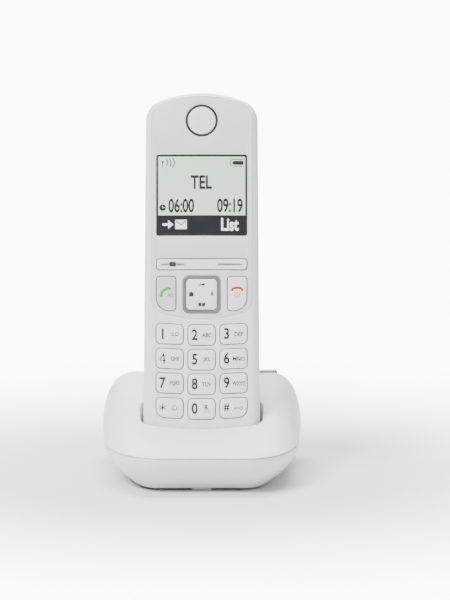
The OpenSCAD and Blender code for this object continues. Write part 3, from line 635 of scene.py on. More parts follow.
@dataclass
class Handset:
    """Shells, front panel, display and earpiece of the handset.

    Attributes:
        space: the handset's own directions.
        crown_r: radius of the arched top.
        crown_corner: radius of the two top corners.
        foot_corner: radius of the two lower corners.
        front_round: rounding of the front edges.
        back_round: rounding of the back edges.
        wall: thickness of the walls.
        front_wall: thickness of the front.
        taper: how much narrower each side is at the top.
        gap: gap around a key.
        lay: gap between still pieces.
        bow: how far the front bows back at its sides.
    """

    space: HandsetSpace
    crown_r: float = 53.0
    crown_corner: float = 9.0
    foot_corner: float = 5.0
    front_round: float = 4.1
    back_round: float = 8.0
    wall: float = 1.8
    front_wall: float = 2.4
    taper: float = 0.9
    gap: float = 0.25
    lay: float = 0.1
    bow: float = 1.1

    def __post_init__(self) -> None:
        """Takes the driving sizes from the frame."""
        low, high = self.space.box("handset_front_shell")
        self.length = high.z
        self.width = high.x - low.x
        self.parting = high.y
        self.depth = self.space.box("handset_rear_shell")[1].y
        self.fascia_low, self.fascia_high = self.space.box("front_fascia")
        self.chin = self.fascia_low.z
        self.door_low, self.door_high = self.space.box("battery_door")
        self.display_low, self.display_high = self.space.box("display_window")
        ear_low, ear_high = self.space.box("earpiece_ring")
        self.ear_z = (ear_low.z + ear_high.z) / 2
        self.ear_r = (ear_high.x - ear_low.x) / 2
        d = self.depth
        self.back_table = (
            (0.0, d - 9), (20.0, d - 4.5), (60.0, d), (self.length - 45, d),
            (self.length - 17, d - 5), (self.length - 5, d - 7.5), (self.length, d - 12),
        )

    def outline(self, inset: float, top_share: float = 1.0) -> list[Point]:
        """Returns the handset's outline from the front.

        Args:
            inset: how far it is drawn in at the sides and at the foot.
            top_share: share of the inset that is used at the arched top.
        Returns:
            The outline.
        """
        half = self.width / 2 - inset
        head = arch(
            2 * half, self.length - inset * top_share, self.crown_r - inset,
            max(self.crown_corner - inset, 0.6)
        )
        r = max(self.foot_corner - inset, 0.4)
        foot = arc((-half + r, inset + r), r, 180, 270, 8) + arc((half - r, inset + r), r, 270, 360, 8)
        return head + foot

    def shape_sides(self, made: bmesh.types.BMesh) -> None:
        """Draws the sides in a little towards the top."""
        for v in made.verts:
            share = min(max((v.co.z - 20) / (self.length - 37), 0), 1)
            v.co.x *= 1 - share * self.taper / (self.width / 2)

    def shape_front(self, made: bmesh.types.BMesh, strips: bool = False) -> None:
        """Bows the front a little across its width.

        Args:
            made: the mesh.
            strips: cuts wide flat faces into strips first.
        """
        if strips:
            count = 16
            for i in range(1, count):
                x = self.width * (i / count - 0.5)
                bmesh.ops.bisect_plane(
                    made, geom=list(made.verts) + list(made.edges) + list(made.faces),
                    plane_co=(x, 0, 0), plane_no=(1, 0, 0), dist=1e-4,
                )
        for v in made.verts:
            share = min(max((self.parting - v.co.y) / self.parting, 0), 1)
            v.co.y += self.bow * share * (v.co.x / (self.width / 2)) ** 2

    def shape_back(self, made: bmesh.types.BMesh) -> None:
        """Cuts the back into short strips and pushes them to the depth that the back has there."""
        step = 4.0
        for i in range(1, int(self.length / step)):
            bmesh.ops.bisect_plane(
                made, geom=list(made.verts) + list(made.edges) + list(made.faces),
                plane_co=(0, 0, i * step), plane_no=(0, 0, 1), dist=1e-4,
            )
        for v in made.verts:
            share = (smooth_lookup(self.back_table, v.co.z) - self.parting) / (self.depth - self.parting)
            v.co.y = self.parting + (v.co.y - self.parting) * share
        self.shape_sides(made)

    def fascia_outline(self, grow: float) -> list[Point]:
        """Returns the outline of the glossy front panel, grown by a gap."""
        width = self.fascia_high.x - self.fascia_low.x + 2 * grow
        head = arch(width, self.fascia_high.z + grow, self.crown_r - 1, self.crown_corner - 1.5)
        chin = arch(width, -self.chin + grow, 58, 6)
        return head + [(-x, -z) for x, z in chin]

    def key_outline(self, node: str, grow: float, flange: float = 0.45) -> list[Point]:
        """Returns the outline of a key from its CAD node, grown by a gap.

        Args:
            node: name of the key.
            grow: how much it is grown.
            flange: width of the flange behind the key, which its node's box includes.
        Returns:
            The outline.
        """
        low, high = self.space.box(node)
        centre = ((low.x + high.x) / 2, (low.z + high.z) / 2)
        width, height = high.x - low.x - 2 * flange, high.z - low.z - 2 * flange
        side = 0 if abs(centre[0]) < 1 else math.copysign(1, centre[0])
        if node in ("talk_key", "end_key"):
            big, small = 5.5 + grow, 1.5 + grow
            radii = (small, small, big if side < 0 else small, big if side > 0 else small)
            return rounded(width + 2 * grow, height + 2 * grow, radii, centre)
        smile = 0.055
        height -= abs(side) * smile * width
        small = 2.0 + grow
        low_r = (4.0 if node in ("key_star", "key_hash") else 2.0) + grow
        radii = (small, small, low_r if side < 0 else small, low_r if side > 0 else small)
        points = rounded(width + 2 * grow, height + 2 * grow, radii, centre)
        return [(x, z + side * (x - centre[0]) * smile) for x, z in points]

    def boxed(self, node: str, grow: float, radius: float) -> list[Point]:
        """Returns a rounded outline around a node's box, grown by a gap."""
        low, high = self.space.box(node)
        centre = ((low.x + high.x) / 2, (low.z + high.z) / 2)
        return rounded(high.x - low.x + 2 * grow, high.z - low.z + 2 * grow, [radius + grow] * 4, centre)

    def key_names(self) -> list[str]:
        """Returns the names of the number keys, from the top left."""
        return [f"key_{n}" for n in range(1, 10)] + ["key_star", "key_0", "key_hash"]

    def holes(self, front: float, back: float) -> bmesh.types.BMesh:
        """Returns the cutter for every hole that goes through the front.

        Args:
            front: depth at which it starts.
            back: depth at which it ends.
        Returns:
            The mesh.
        """
        outlines = [self.key_outline(n, self.gap) for n in self.key_names() + ["talk_key", "end_key"]]
        outlines.append(self.boxed("softkey_bar", self.gap, 1.3))
        outlines.append(self.boxed("nav_bezel", self.lay, 2.6))
        outlines.append(arc((0, self.ear_z), self.ear_r + self.lay, 0, 354, 59))
        return joined(*(slab(o, front, back) for o in outlines))

    def display_outline(self, grow: float) -> list[Point]:
        """Returns the outline of the display window, grown by a gap."""
        low, high = self.display_low, self.display_high
        centre = (0.0, (low.z + high.z) / 2)
        return rounded(high.x - low.x + 2 * grow, high.z - low.z + 2 * grow, [0.9] * 4, centre, 5)

    def front_shell(self) -> None:
        """Builds the front half of the casing."""
        r = self.front_round
        angles = [math.radians(90 * i / 8) for i in range(9)]
        rings = [front_ring(self.outline(r * (1 - math.sin(a)), 0.5), r * (1 - math.cos(a))) for a in angles]
        rings += [
            front_ring(self.outline(0), self.parting - 0.3),
            front_ring(self.outline(0.2), self.parting - 0.1),
            front_ring(self.outline(self.wall), self.parting - 0.1),
            front_ring(self.outline(self.wall), self.front_wall),
        ]
        shell = loft(rings)
        self.shape_sides(shell)
        seat = joined(slab(self.fascia_outline(self.lay), -1, 1.2 + self.lay))
        shell = combined(shell, seat, "DIFFERENCE")
        pads = []
        low, high = self.space.box("charge_pads")
        for side in Side:
            x = side.value * (high.x - 2.5)
            pad = rounded(5.2, 2.2, [0.1] * 4, (x, 0.0), 1)
            pads.append(slab(pad, low.y - 0.1, high.y + 0.1))
        through = joined(
            self.holes(-2, 5),
            slab(self.display_outline(-0.6), -2, 5),
            pin(0, 6, -1, 5, 0.6, 24),
            *pads,
        )
        shell = combined(shell, through, "DIFFERENCE")
        round_rim(
            shell, lambda e: at_depth(0.0)(e) and len(e.link_faces) == 2 and e.calc_face_angle() > 1.2,
            0.12, 2
        )
        self.shape_front(shell, True)
        new_piece(
            "front_casing", shell, WHITE, "handset", ["handset_front_shell"],
            self.space.place
        )

    def back_blank(self, inset: float, back: float, start: float, groove: float = 0.0) -> bmesh.types.BMesh:
        """Returns the closed form of the back, before its depth is shaped.

        Args:
            inset: how far it lies inside the outer form.
            back: depth of its back face.
            start: depth at which it starts.
            groove: size of the small step along its front edge.
        Returns:
            The mesh.
        """
        r = self.back_round - inset
        rings = []
        if groove:
            rings.append(front_ring(self.outline(inset + groove), start))
            start += groove
        rings.append(front_ring(self.outline(inset), start))
        for i in range(13):
            a = math.radians(90 * i / 12)
            rings.append(front_ring(self.outline(inset + r * (1 - math.cos(a))), back - r + r * math.sin(a)))
        return loft(rings)

    def door_outline(self, grow: float) -> list[Point]:
        """Returns the outline of the battery door, grown by a gap."""
        low, high = self.door_low, self.door_high
        centre = (0.0, (low.z + high.z) / 2)
        return rounded(high.x - low.x + 2 * grow, high.z - low.z + 2 * grow, [3 + grow] * 4, centre)

    def rear_shell(self) -> None:
        """Builds the back half of the casing with the battery tray, and its door."""
        tray_low, tray_high = self.space.box("battery_springs")
        cell_low = self.space.box("battery_cell_left")[0]
        cell_right = self.space.box("battery_cell_right")[1].x
        tray_w = 2 * cell_right + 1.2
        tray_z = ((tray_low.z + tray_high.z) / 2, tray_high.z - tray_low.z + 0.4)
        tray_y = cell_low.y - 0.4
        block = rounded(tray_w + 2.8, tray_z[1] + 2.8, [1.5] * 4, (0, tray_z[0]), 3)
        cavity = self.back_blank(self.wall, self.depth - self.wall, self.parting - 1)
        cavity = combined(cavity, slab(block, tray_y - 1.2, self.depth + 1), "DIFFERENCE")
        shell = self.back_blank(0.0, self.depth, self.parting + 0.02, 0.2)
        shell = combined(shell, cavity, "DIFFERENCE")
        shell = combined(shell, slab(self.door_outline(0.2), self.depth - 1.45, self.depth + 3), "DIFFERENCE")
        pocket = rounded(tray_w, tray_z[1], [0.8] * 4, (0, tray_z[0]), 3)
        shell = combined(shell, slab(pocket, tray_y, self.depth + 3), "DIFFERENCE")
        self.shape_back(shell)
        bmesh.ops.recalc_face_normals(shell, faces=shell.faces)
        cuts = [
            slab(rounded(9, 1, [0.45] * 4, (0, 28 + 2.2 * i), 3), self.parting + 1, self.depth + 3)
            for i in range(-2, 3)
        ]
        screw_low, screw_high = self.space.box("handset_screws")
        for side in Side:
            for x, z in ((15.0, screw_low.z + 1.8), (screw_high.x - 1.8, screw_high.z - 1.8)):
                cuts.append(pin(side.value * x, z, self.parting + 3, self.depth + 3, 2.05, 40))
        shell = combined(shell, joined(*cuts), "DIFFERENCE")
        new_piece(
            "rear_casing", shell, WHITE, "handset", ["handset_rear_shell"],
            self.space.place, 28
        )
        door = self.back_blank(0.0, self.depth, self.parting + 1)
        door = combined(door, slab(self.door_outline(0.0), self.depth - 1.3, self.depth + 3), "INTERSECT")
        grip_z = self.door_low.z + 9
        grooves = [
            slab(stroke([
                (-7 + 2.4 * i, grip_z + 4 - 1.4 * i),
                (0, grip_z - 1.4 * i),
                (7 - 2.4 * i, grip_z + 4 - 1.4 * i),
            ], 0.9),
                 self.depth - 0.35, self.depth + 2)
            for i in range(2)
        ]
        door = combined(door, joined(*grooves), "DIFFERENCE")
        self.shape_back(door)
        bmesh.ops.recalc_face_normals(door, faces=door.faces)
        new_piece(
            "battery_cover", door, WHITE, "battery_door", ["battery_door"],
            self.space.place, 28
        )

    def front_panel(self) -> None:
        """Builds the glossy front panel."""
        panel = slab(self.fascia_outline(0.0), 0.0, 1.2)
        cuts = joined(self.holes(-2, 3), slab(self.display_outline(self.lay), -2, 3))
        panel = combined(panel, cuts, "DIFFERENCE")
        round_rim(panel, at_depth(0.0), 0.14, 2)
        self.shape_front(panel, True)
        new_piece("front_panel", panel, PEARL, "handset", ["front_fascia"], self.space.place)

    def earpiece(self) -> None:
        """Builds the sound ring and the white disc inside it."""
        line = 0.9
        ring = combined(
            pin(0, self.ear_z, 0.1, 1.8, self.ear_r, 72), pin(
                0, self.ear_z, -1, 3, self.ear_r - line, 72
            ), "DIFFERENCE"
        )
        self.shape_front(ring)
        new_piece("sound_ring", ring, RING, "handset", ["earpiece_ring"], self.space.place)
        cap = pin(0, self.ear_z, -0.1, 1.2, self.ear_r - line - 0.05, 72)
        round_rim(cap, at_depth(-0.1), 0.3, 3)
        self.shape_front(cap)
        new_piece("sound_cap", cap, CAP, "handset", ["earpiece_cap"], self.space.place)

    def build(self) -> None:
        """Builds every piece of the casing."""
        self.front_shell()
        self.rear_shell()
        self.front_panel()
        self.earpiece()


# ---------------------------------------------------------------- keys, legends and display


@dataclass
class Keypad:
    """All keys of the handset, with what is printed on them.

    Attributes:
        handset: the casing that they sit in.
        proud: height of the keys above the front.
        flange: width of the flange behind a key.
    """

    handset: Handset
    proud: float = 0.5
    flange: float = 0.45

    def legend(
        self, name: str, made: bmesh.types.BMesh, at: Point, body: str, ink: Finish, face: float
    ) -> None:
        """Puts a printed mark on a face.

        Args:
            name: name of the piece.
            made: the mark, centred on the origin.
            at: where its middle goes, across and along.
            body: the body that it rides on.
            ink: its finish.
            face: depth of the face that it is printed on.
        """
        bmesh.ops.translate(made, verts=made.verts, vec=(at[0], face - LEGEND_LIFT, at[1]))
        self.handset.shape_front(made)
        new_piece(name, made, ink, body, (), self.handset.space.place)

    def cap(
        self, node: str, outline: Sequence[Point], back: float, finish: Finish, proud: float, rim: float
    ) -> float:
        """Builds one key cap with a rounded rim and a slightly raised face; its sides behind the face and its
        flange carry a near-black painted shade that stands in for the shadow in the gap around the key.

        Args:
            node: the CAD node that it stands for.
            outline: its outline.
            back: depth of its back.
            finish: its finish.
            proud: height above the front.
            rim: rounding of its rim.
        Returns:
            The depth of its face.
        """
        key = slab(outline, -proud + 0.06, back)
        round_rim(key, at_depth(-proud + 0.06), rim, 4)
        top = [f for f in key.faces if all(abs(v.co.y + proud - 0.06) < 1e-4 for v in f.verts)]
        bmesh.ops.inset_region(key, faces=top, thickness=0.7, depth=0.06, use_even_offset=True)
        # Cuts the key at a quarter of its height, where the painted gap shade starts.
        bmesh.ops.bisect_plane(
            key, geom=list(key.verts) + list(key.edges) + list(key.faces),
            plane_co=(0, self.proud / -4, 0), plane_no=(0, 1, 0), dist=1e-5,
        )
        flanged = node.startswith("key_") or node in ("talk_key", "end_key")
        if flanged:
            grown = self.handset.key_outline(node, self.flange)
            key = joined(key, slab(grown, back, back + 0.6))
        # Faces behind a quarter of the key's height take the near-black painted shade, which darkens the gap
        # around the key.
        for face in key.faces:
            face.material_index = 1 if face.calc_center_median().y > -self.proud / 4 else 0
        self.handset.shape_front(key)
        piece = new_piece(
            f"{node}_cap", key, finish, node, [node], self.handset.space.place, 40
        )
        # Second slot: the near-black painted shade for the key's sides and flange.
        piece.data.materials.append(GAP_SHADE.material())
        return -proud

    def number_keys(self) -> None:
        """Builds the twelve number keys and their digits and letters."""
        letters = {
            "key_2": "ABC", "key_3": "DEF", "key_4": "GHI", "key_5": "JKL", "key_6": "MNO",
            "key_7": "PQRS", "key_8": "TUV", "key_9": "WXYZ",
        }
        signs = {"key_star": "*", "key_hash": "#"}
        for node in self.handset.key_names():
            outline = self.handset.key_outline(node, -SLIM)
            face = self.cap(node, outline, 2.56, CAP, self.proud, 0.35)
            low, high = self.handset.space.box(node)
            x, z = (low.x + high.x) / 2, (low.z + high.z) / 2
            sign = signs.get(node, node[-1])
            height = {"*": 3.1, "#": 3.3}.get(sign, 4.7)
            plain = {"*": self.asterisk, "4": self.figure_four}.get(sign)
            digit = plain(height) if plain else lettering(sign, height, 0.8, DIGIT_HEFT)
            self.legend(f"{node}_digit", digit, (x - 3.0, z + 0.15), node, INK, face)
            if node in letters:
                width = 0.86 if len(letters[node]) < 4 else 0.72
                mark = lettering(letters[node], 1.85, width, LETTER_HEFT)
                self.legend(f"{node}_letters", mark, (x + 2.2, z - 0.1), node, LETTER_INK, face)
            else:
                self.legend(f"{node}_mark", self.mark_of(node), (x + 2.1, z - 0.1), node, LETTER_INK, face)

    @staticmethod
    def asterisk(size: float) -> bmesh.types.BMesh:
        """Returns a star of three bars."""
        bars = []
        for turn in (90, 30, -30):
            a = math.radians(turn)
            reach = size / 2
            bars.append(stroke([
                (-reach * math.cos(a), -reach * math.sin(a)), (reach * math.cos(a), reach * math.sin(a))
            ], 0.42))
        return drawn(*bars)

    @staticmethod
    def figure_four(height: float) -> bmesh.types.BMesh:
        """Returns the figure 4 as one bent stroke, so that its eye stays open."""
        stem, bar, pen = height * 0.12, -height * 0.2, height * 0.125
        top = height / 2
        bend = [(stem, -top), (stem, top - pen / 2), (-height * 0.27, bar), (height * 0.27, bar)]
        return drawn(stroke(bend[:2], pen), stroke(bend[1:], pen))

    def mark_of(self, node: str) -> bmesh.types.BMesh:
        """Returns the small sign beside a digit that has no letters."""
        if node == "key_1":
            reels = [stroke(arc((side.value * 1.0, 0), 0.6, 0, 345, 14), 0.3) for side in Side]
            return drawn(*reels, stroke([(-1.0, -0.76), (1.0, -0.76)], 0.28))
        if node == "key_star":
            bell = arc((0, 0.4), 0.75, 0, 180, 10) + [
                (-0.95, -0.55), (-1.1, -0.75), (1.1, -0.75), (0.95, -0.55), (0.75, 0.4)
            ]
            return drawn(stroke(bell, 0.26), rounded(0.7, 0.32, [0.12] * 4, (0, -1.1), 2))
        if node == "key_0":
            letter = lettering("R", 2.1, 0.9, LETTER_HEFT)
            bmesh.ops.translate(letter, verts=letter.verts, vec=(0, 0, 0.75))
            return joined(letter, drawn(stroke([(-1.0, -0.7), (-1.0, -1.2), (1.0, -1.2), (1.0, -0.7)], 0.24)))
        ring = stroke(arc((1.2, 0), 0.62, 195, 530, 14), 0.3)
        shaft = stroke([(-1.9, 0), (0.45, 0)], 0.3)
        return drawn(
            ring, shaft, stroke([(-1.2, -0.15), (-1.2, -0.6)], 0.28),
            stroke([(-1.75, -0.15), (-1.75, -0.6)], 0.28)
        )

    @staticmethod
    def receiver(size: float, lift: float) -> list[Point]:
        """Returns the outline of a telephone receiver lying on its back.

        Args:
            size: half of its width.
            lift: height of its middle.
        Returns:
            The outline.
        """
        low = lift - size * 0.42
        outer = arc((0, lift - size * 1.25), size * 1.6, 128, 52, 12)
        inner = arc((0, lift - size * 1.55), size * 1.5, 63, 117, 8)
        return outer + [(size, low), (size * 0.58, low)] + inner + [(-size * 0.58, low), (-size, low)]

    def call_keys(self) -> None:
        """Builds the talk key and the end key with their signs."""
        for node, finish in (("talk_key", TALK_CAP), ("end_key", CAP)):
            face = self.cap(node, self.handset.key_outline(node, -SLIM), 2.56, finish, self.proud, 0.4)
            low, high = self.handset.space.box(node)
            x, z = (low.x + high.x) / 2, (low.z + high.z) / 2
            if node == "talk_key":
                lifted = drawn(self.receiver(2.9, 0.6))
                tilt = Matrix.Rotation(math.radians(-40), 3, "Y")
                bmesh.ops.rotate(lifted, verts=lifted.verts, cent=(0, 0, 0), matrix=tilt)
                self.legend("talk_sign", lifted, (x - 0.3, z + 0.5), node, GREEN_INK, face)
                horn = [(-0.8, -0.4), (-0.3, -0.4), (0.25, -1.0), (0.25, 1.0), (-0.3, 0.4), (-0.8, 0.4)]
                wave = stroke(arc((0.1, 0), 0.95, -48, 48, 6), 0.32)
                self.legend("speaker_sign", drawn(horn, wave), (x + 1.7, z - 0.7), node, GREEN_INK, face)
            else:
                self.legend("end_sign", drawn(self.receiver(2.6, 0.4)), (x, z + 1.7), node, RED_INK, face)
                ring = stroke(arc((0, 0), 1.1, 95, 445, 22), 0.26)
                self.legend(
                    "power_sign", drawn(ring, stroke([(0, -0.5), (0, 0.5)], 0.3)), (x, z - 0.6), node,
                    RED_INK, face
                )

    def softkeys(self) -> None:
        """Builds the rocking bar under the display with its two marks."""
        outline = self.handset.boxed("softkey_bar", -SLIM, 1.3)
        face = self.cap("softkey_bar", outline, 2.6, CAP, self.proud, 0.3)
        low, high = self.handset.space.box("softkey_bar")
        z = (low.z + high.z) / 2
        dash = 3.6
        left = [stroke([(-dash - 1.6, 0), (-1.7, 0)], 0.45), rounded(2.9, 1.9, [0.3] * 4, (0, 0), 3),
                stroke([(1.7, 0), (1.6 + dash, 0)], 0.45)]
        self.legend("left_softkey_mark", drawn(*left), (low.x + 6.9, z), "softkey_bar", LETTER_INK, face)
        right = stroke([(-5.3, 0), (5.3, 0)], 0.45)
        self.legend("right_softkey_mark", drawn(right), (high.x - 7.3, z), "softkey_bar", LETTER_INK, face)

    def navigation(self) -> None:
        """Builds the bezel and the four-way key with its signs."""
        bezel = slab(self.handset.boxed("nav_bezel", 0.0, 2.6), -0.35, 2.4)
        bezel = combined(bezel, slab(self.handset.boxed("nav_key", 0.3, 1.8), -2, 4), "DIFFERENCE")
        round_rim(bezel, at_depth(-0.35), 0.4, 3)
        self.handset.shape_front(bezel)
        new_piece(
            "nav_frame", bezel, SATIN_GREY, "handset", ["nav_bezel"],
            self.handset.space.place, 40
        )
        low, high = self.handset.space.box("nav_key")
        proud = -low.y
        pad = slab(self.handset.boxed("nav_key", 0.0, 1.8), -proud + 0.1, 2.3)
        round_rim(pad, at_depth(-proud + 0.1), 0.7, 5)
        top = [f for f in pad.faces if all(abs(v.co.y + proud - 0.1) < 1e-4 for v in f.verts)]
        bmesh.ops.inset_region(pad, faces=top, thickness=0.5, depth=0.1, use_even_offset=True)
        self.handset.shape_front(pad)
        new_piece("nav_pad", pad, CAP, "nav_key", ["nav_key"], self.handset.space.place, 40)
        z = (low.z + high.z) / 2
        reach = (high.x - low.x) / 2 - 2.2
        wedge = [(-1.3, -0.5), (1.3, 0.5), (1.3, -0.7), (-1.3, -0.7)]
        house = [(-1.0, -1.0), (1.0, -1.0), (1.0, 0.1), (1.4, 0.1), (0, 1.2), (-1.4, 0.1), (-1.0, 0.1)]
        stem = rounded(0.8, 1.5, [0.38] * 4, (0, 0.35), 4)
        cradle = stroke(arc((0, 0.2), 0.85, 200, 340, 8), 0.2)
        pages = [
            [(-1.5, -0.7), (-0.12, -0.9), (-0.12, 0.7), (-1.5, 0.9)],
            [(0.12, -0.9), (1.5, -0.7), (1.5, 0.9), (0.12, 0.7)]
        ]
        marks = {
            "volume_sign": (drawn(wedge), (0, z + reach)),
            "home_sign": (drawn(house), (-reach, z)),
            "message_sign": (drawn(stem, cradle), (reach, z)),
            "book_sign": (drawn(*pages), (0, z - reach)),
        }
        for name, (mark, at) in marks.items():
            self.legend(name, mark, at, "nav_key", LETTER_INK, -proud)

    def build(self) -> None:
        """Builds every key."""
        self.number_keys()
        self.call_keys()
        self.softkeys()
        self.navigation()


@dataclass
class Display:
    """The display window with what it shows.

    Attributes:
        handset: the casing that it sits in.
        frame: width of the black frame.
        sunk: depth of the screen behind the front.
        bar: height of the black menu bar.
    """

    handset: Handset
    frame: float = 0.8
    sunk: float = 0.12
    bar: float = 8.0

    def shown(self, name: str, made: bmesh.types.BMesh, x: float, z: float, ink: Finish) -> None:
        """Puts a segment on the screen."""
        bmesh.ops.translate(made, verts=made.verts, vec=(x, self.sunk - LEGEND_LIFT - 0.01, z))
        self.handset.shape_front(made, name == "menu_bar")
        new_piece(name, made, ink, "handset", (), self.handset.space.place)

    def build(self) -> None:
        """Builds the frame, the screen and its signs."""
        space = self.handset.space
        low, high = self.handset.display_low, self.handset.display_high
        width, height = high.x - low.x, high.z - low.z
        centre = (0.0, (low.z + high.z) / 2)
        inner = (width - 2 * self.frame, height - 2 * self.frame)
        frame_mesh = slab(self.handset.display_outline(0.0), 0.0, 1.2)
        opening = slab(rounded(inner[0], inner[1], [0.5] * 4, centre, 4), -1, 2)
        frame_mesh = combined(frame_mesh, opening, "DIFFERENCE")
        round_rim(frame_mesh, at_depth(0.0), 0.12, 2)
        self.handset.shape_front(frame_mesh, True)
        new_piece("window_frame", frame_mesh, WINDOW, "handset", ["display_window"], space.place)
        screen = slab(rounded(inner[0] + 0.4, inner[1] + 0.4, [0.3] * 4, centre, 3), self.sunk, 1.1)
        self.handset.shape_front(screen, True)
        new_piece("screen", screen, SCREEN, "handset", (), space.place)
        foot, head = centre[1] - inner[1] / 2, centre[1] + inner[1] / 2
        left, right = -inner[0] / 2, inner[0] / 2
        bar = drawn(rounded(inner[0] + 0.2, self.bar, [0.2] * 4, (0, 0), 2))
        self.shown("menu_bar", bar, 0.0, foot + self.bar / 2, WINDOW)
        mast = [[(-0.2, -1.7), (0.2, -1.7), (0.2, 0.0), (-0.2, 0.0)], arc((0, 0.5), 0.5, 0, 345, 12)]
        waves = [
            stroke(arc((1.2 * i - 1.2, 0.2), 1.9 + 0.25 * i, -34 - 5 * i, 34 + 5 * i, 8), 0.38)
            for i in range(1, 4)
        ]
        self.shown("signal_sign", drawn(*mast, *waves), left + 1.9, head - 2.9, SEGMENT)
        shell = [(2.8, 1.45), (-2.0, 1.45), (-2.8, 0.8), (-2.8, -0.8), (-2.0, -1.45), (2.8, -1.45)]
        charge = [(2.8, 0.85), (-1.4, 0.85), (-2.0, 0.3), (-2.0, -0.3), (-1.4, -0.85), (2.8, -0.85)]
        self.shown("battery_sign", drawn(stroke(shell, 0.3), charge), right - 3.5, head - 2.7, SEGMENT)
        self.shown("screen_word", lettering("TEL", 5.9, 0.70, DIGIT_HEFT), -0.2, head - 11.1, SEGMENT)
        row = foot + self.bar + 4.2
        dial = [arc((0, 0), 1.45, 0, 350, 24)]
        self.shown("clock_sign", drawn(*dial), left + 1.9, row - 0.9, SEGMENT)
        hands = drawn(stroke([(-0.1, 0.8), (-0.1, 0.0), (0.75, 0.0)], 0.3))
        bmesh.ops.translate(hands, verts=hands.verts, vec=(0, -0.03, 0))
        self.shown("clock_hands", hands, left + 1.9, row - 0.9, SCREEN)
        self.shown("clock_time", lettering("06:00", 5.9, 0.62, DIGIT_HEFT), left + 9.9, row, SEGMENT)
        self.shown("screen_date", lettering("09:19", 5.9, 0.62, DIGIT_HEFT), right - 6.6, row, SEGMENT)
        middle = foot + self.bar / 2
        arrow = [(2.3, 0.0), (0.1, 1.9), (0.1, 0.5), (-2.3, 0.5), (-2.3, -0.5), (0.1, -0.5), (0.1, -1.9)]
        cover = rounded(5.0, 4.0, [0.3] * 4, (0, 0), 3)
        for name, mark, x in (
            ("arrow_sign", drawn(arrow), left + 4.2), ("letter_sign", drawn(cover), left + 9.8)
        ):
            bmesh.ops.translate(mark, verts=mark.verts, vec=(0, -0.03, 0))
            self.shown(name, mark, x, middle, LIT)
        flap = drawn(stroke([(-2.1, 1.5), (0, -0.3), (2.1, 1.5)], 0.5))
        bmesh.ops.translate(flap, verts=flap.verts, vec=(0, -0.06, 0))
        self.shown("letter_flap", flap, left + 9.8, middle, SEGMENT)
        word = lettering("List", 5.4, 0.72, DIGIT_HEFT)
        bmesh.ops.translate(word, verts=word.verts, vec=(0, -0.03, 0))
        self.shown("menu_word", word, right - 6.6, middle, LIT)


# ---------------------------------------------------------------- base


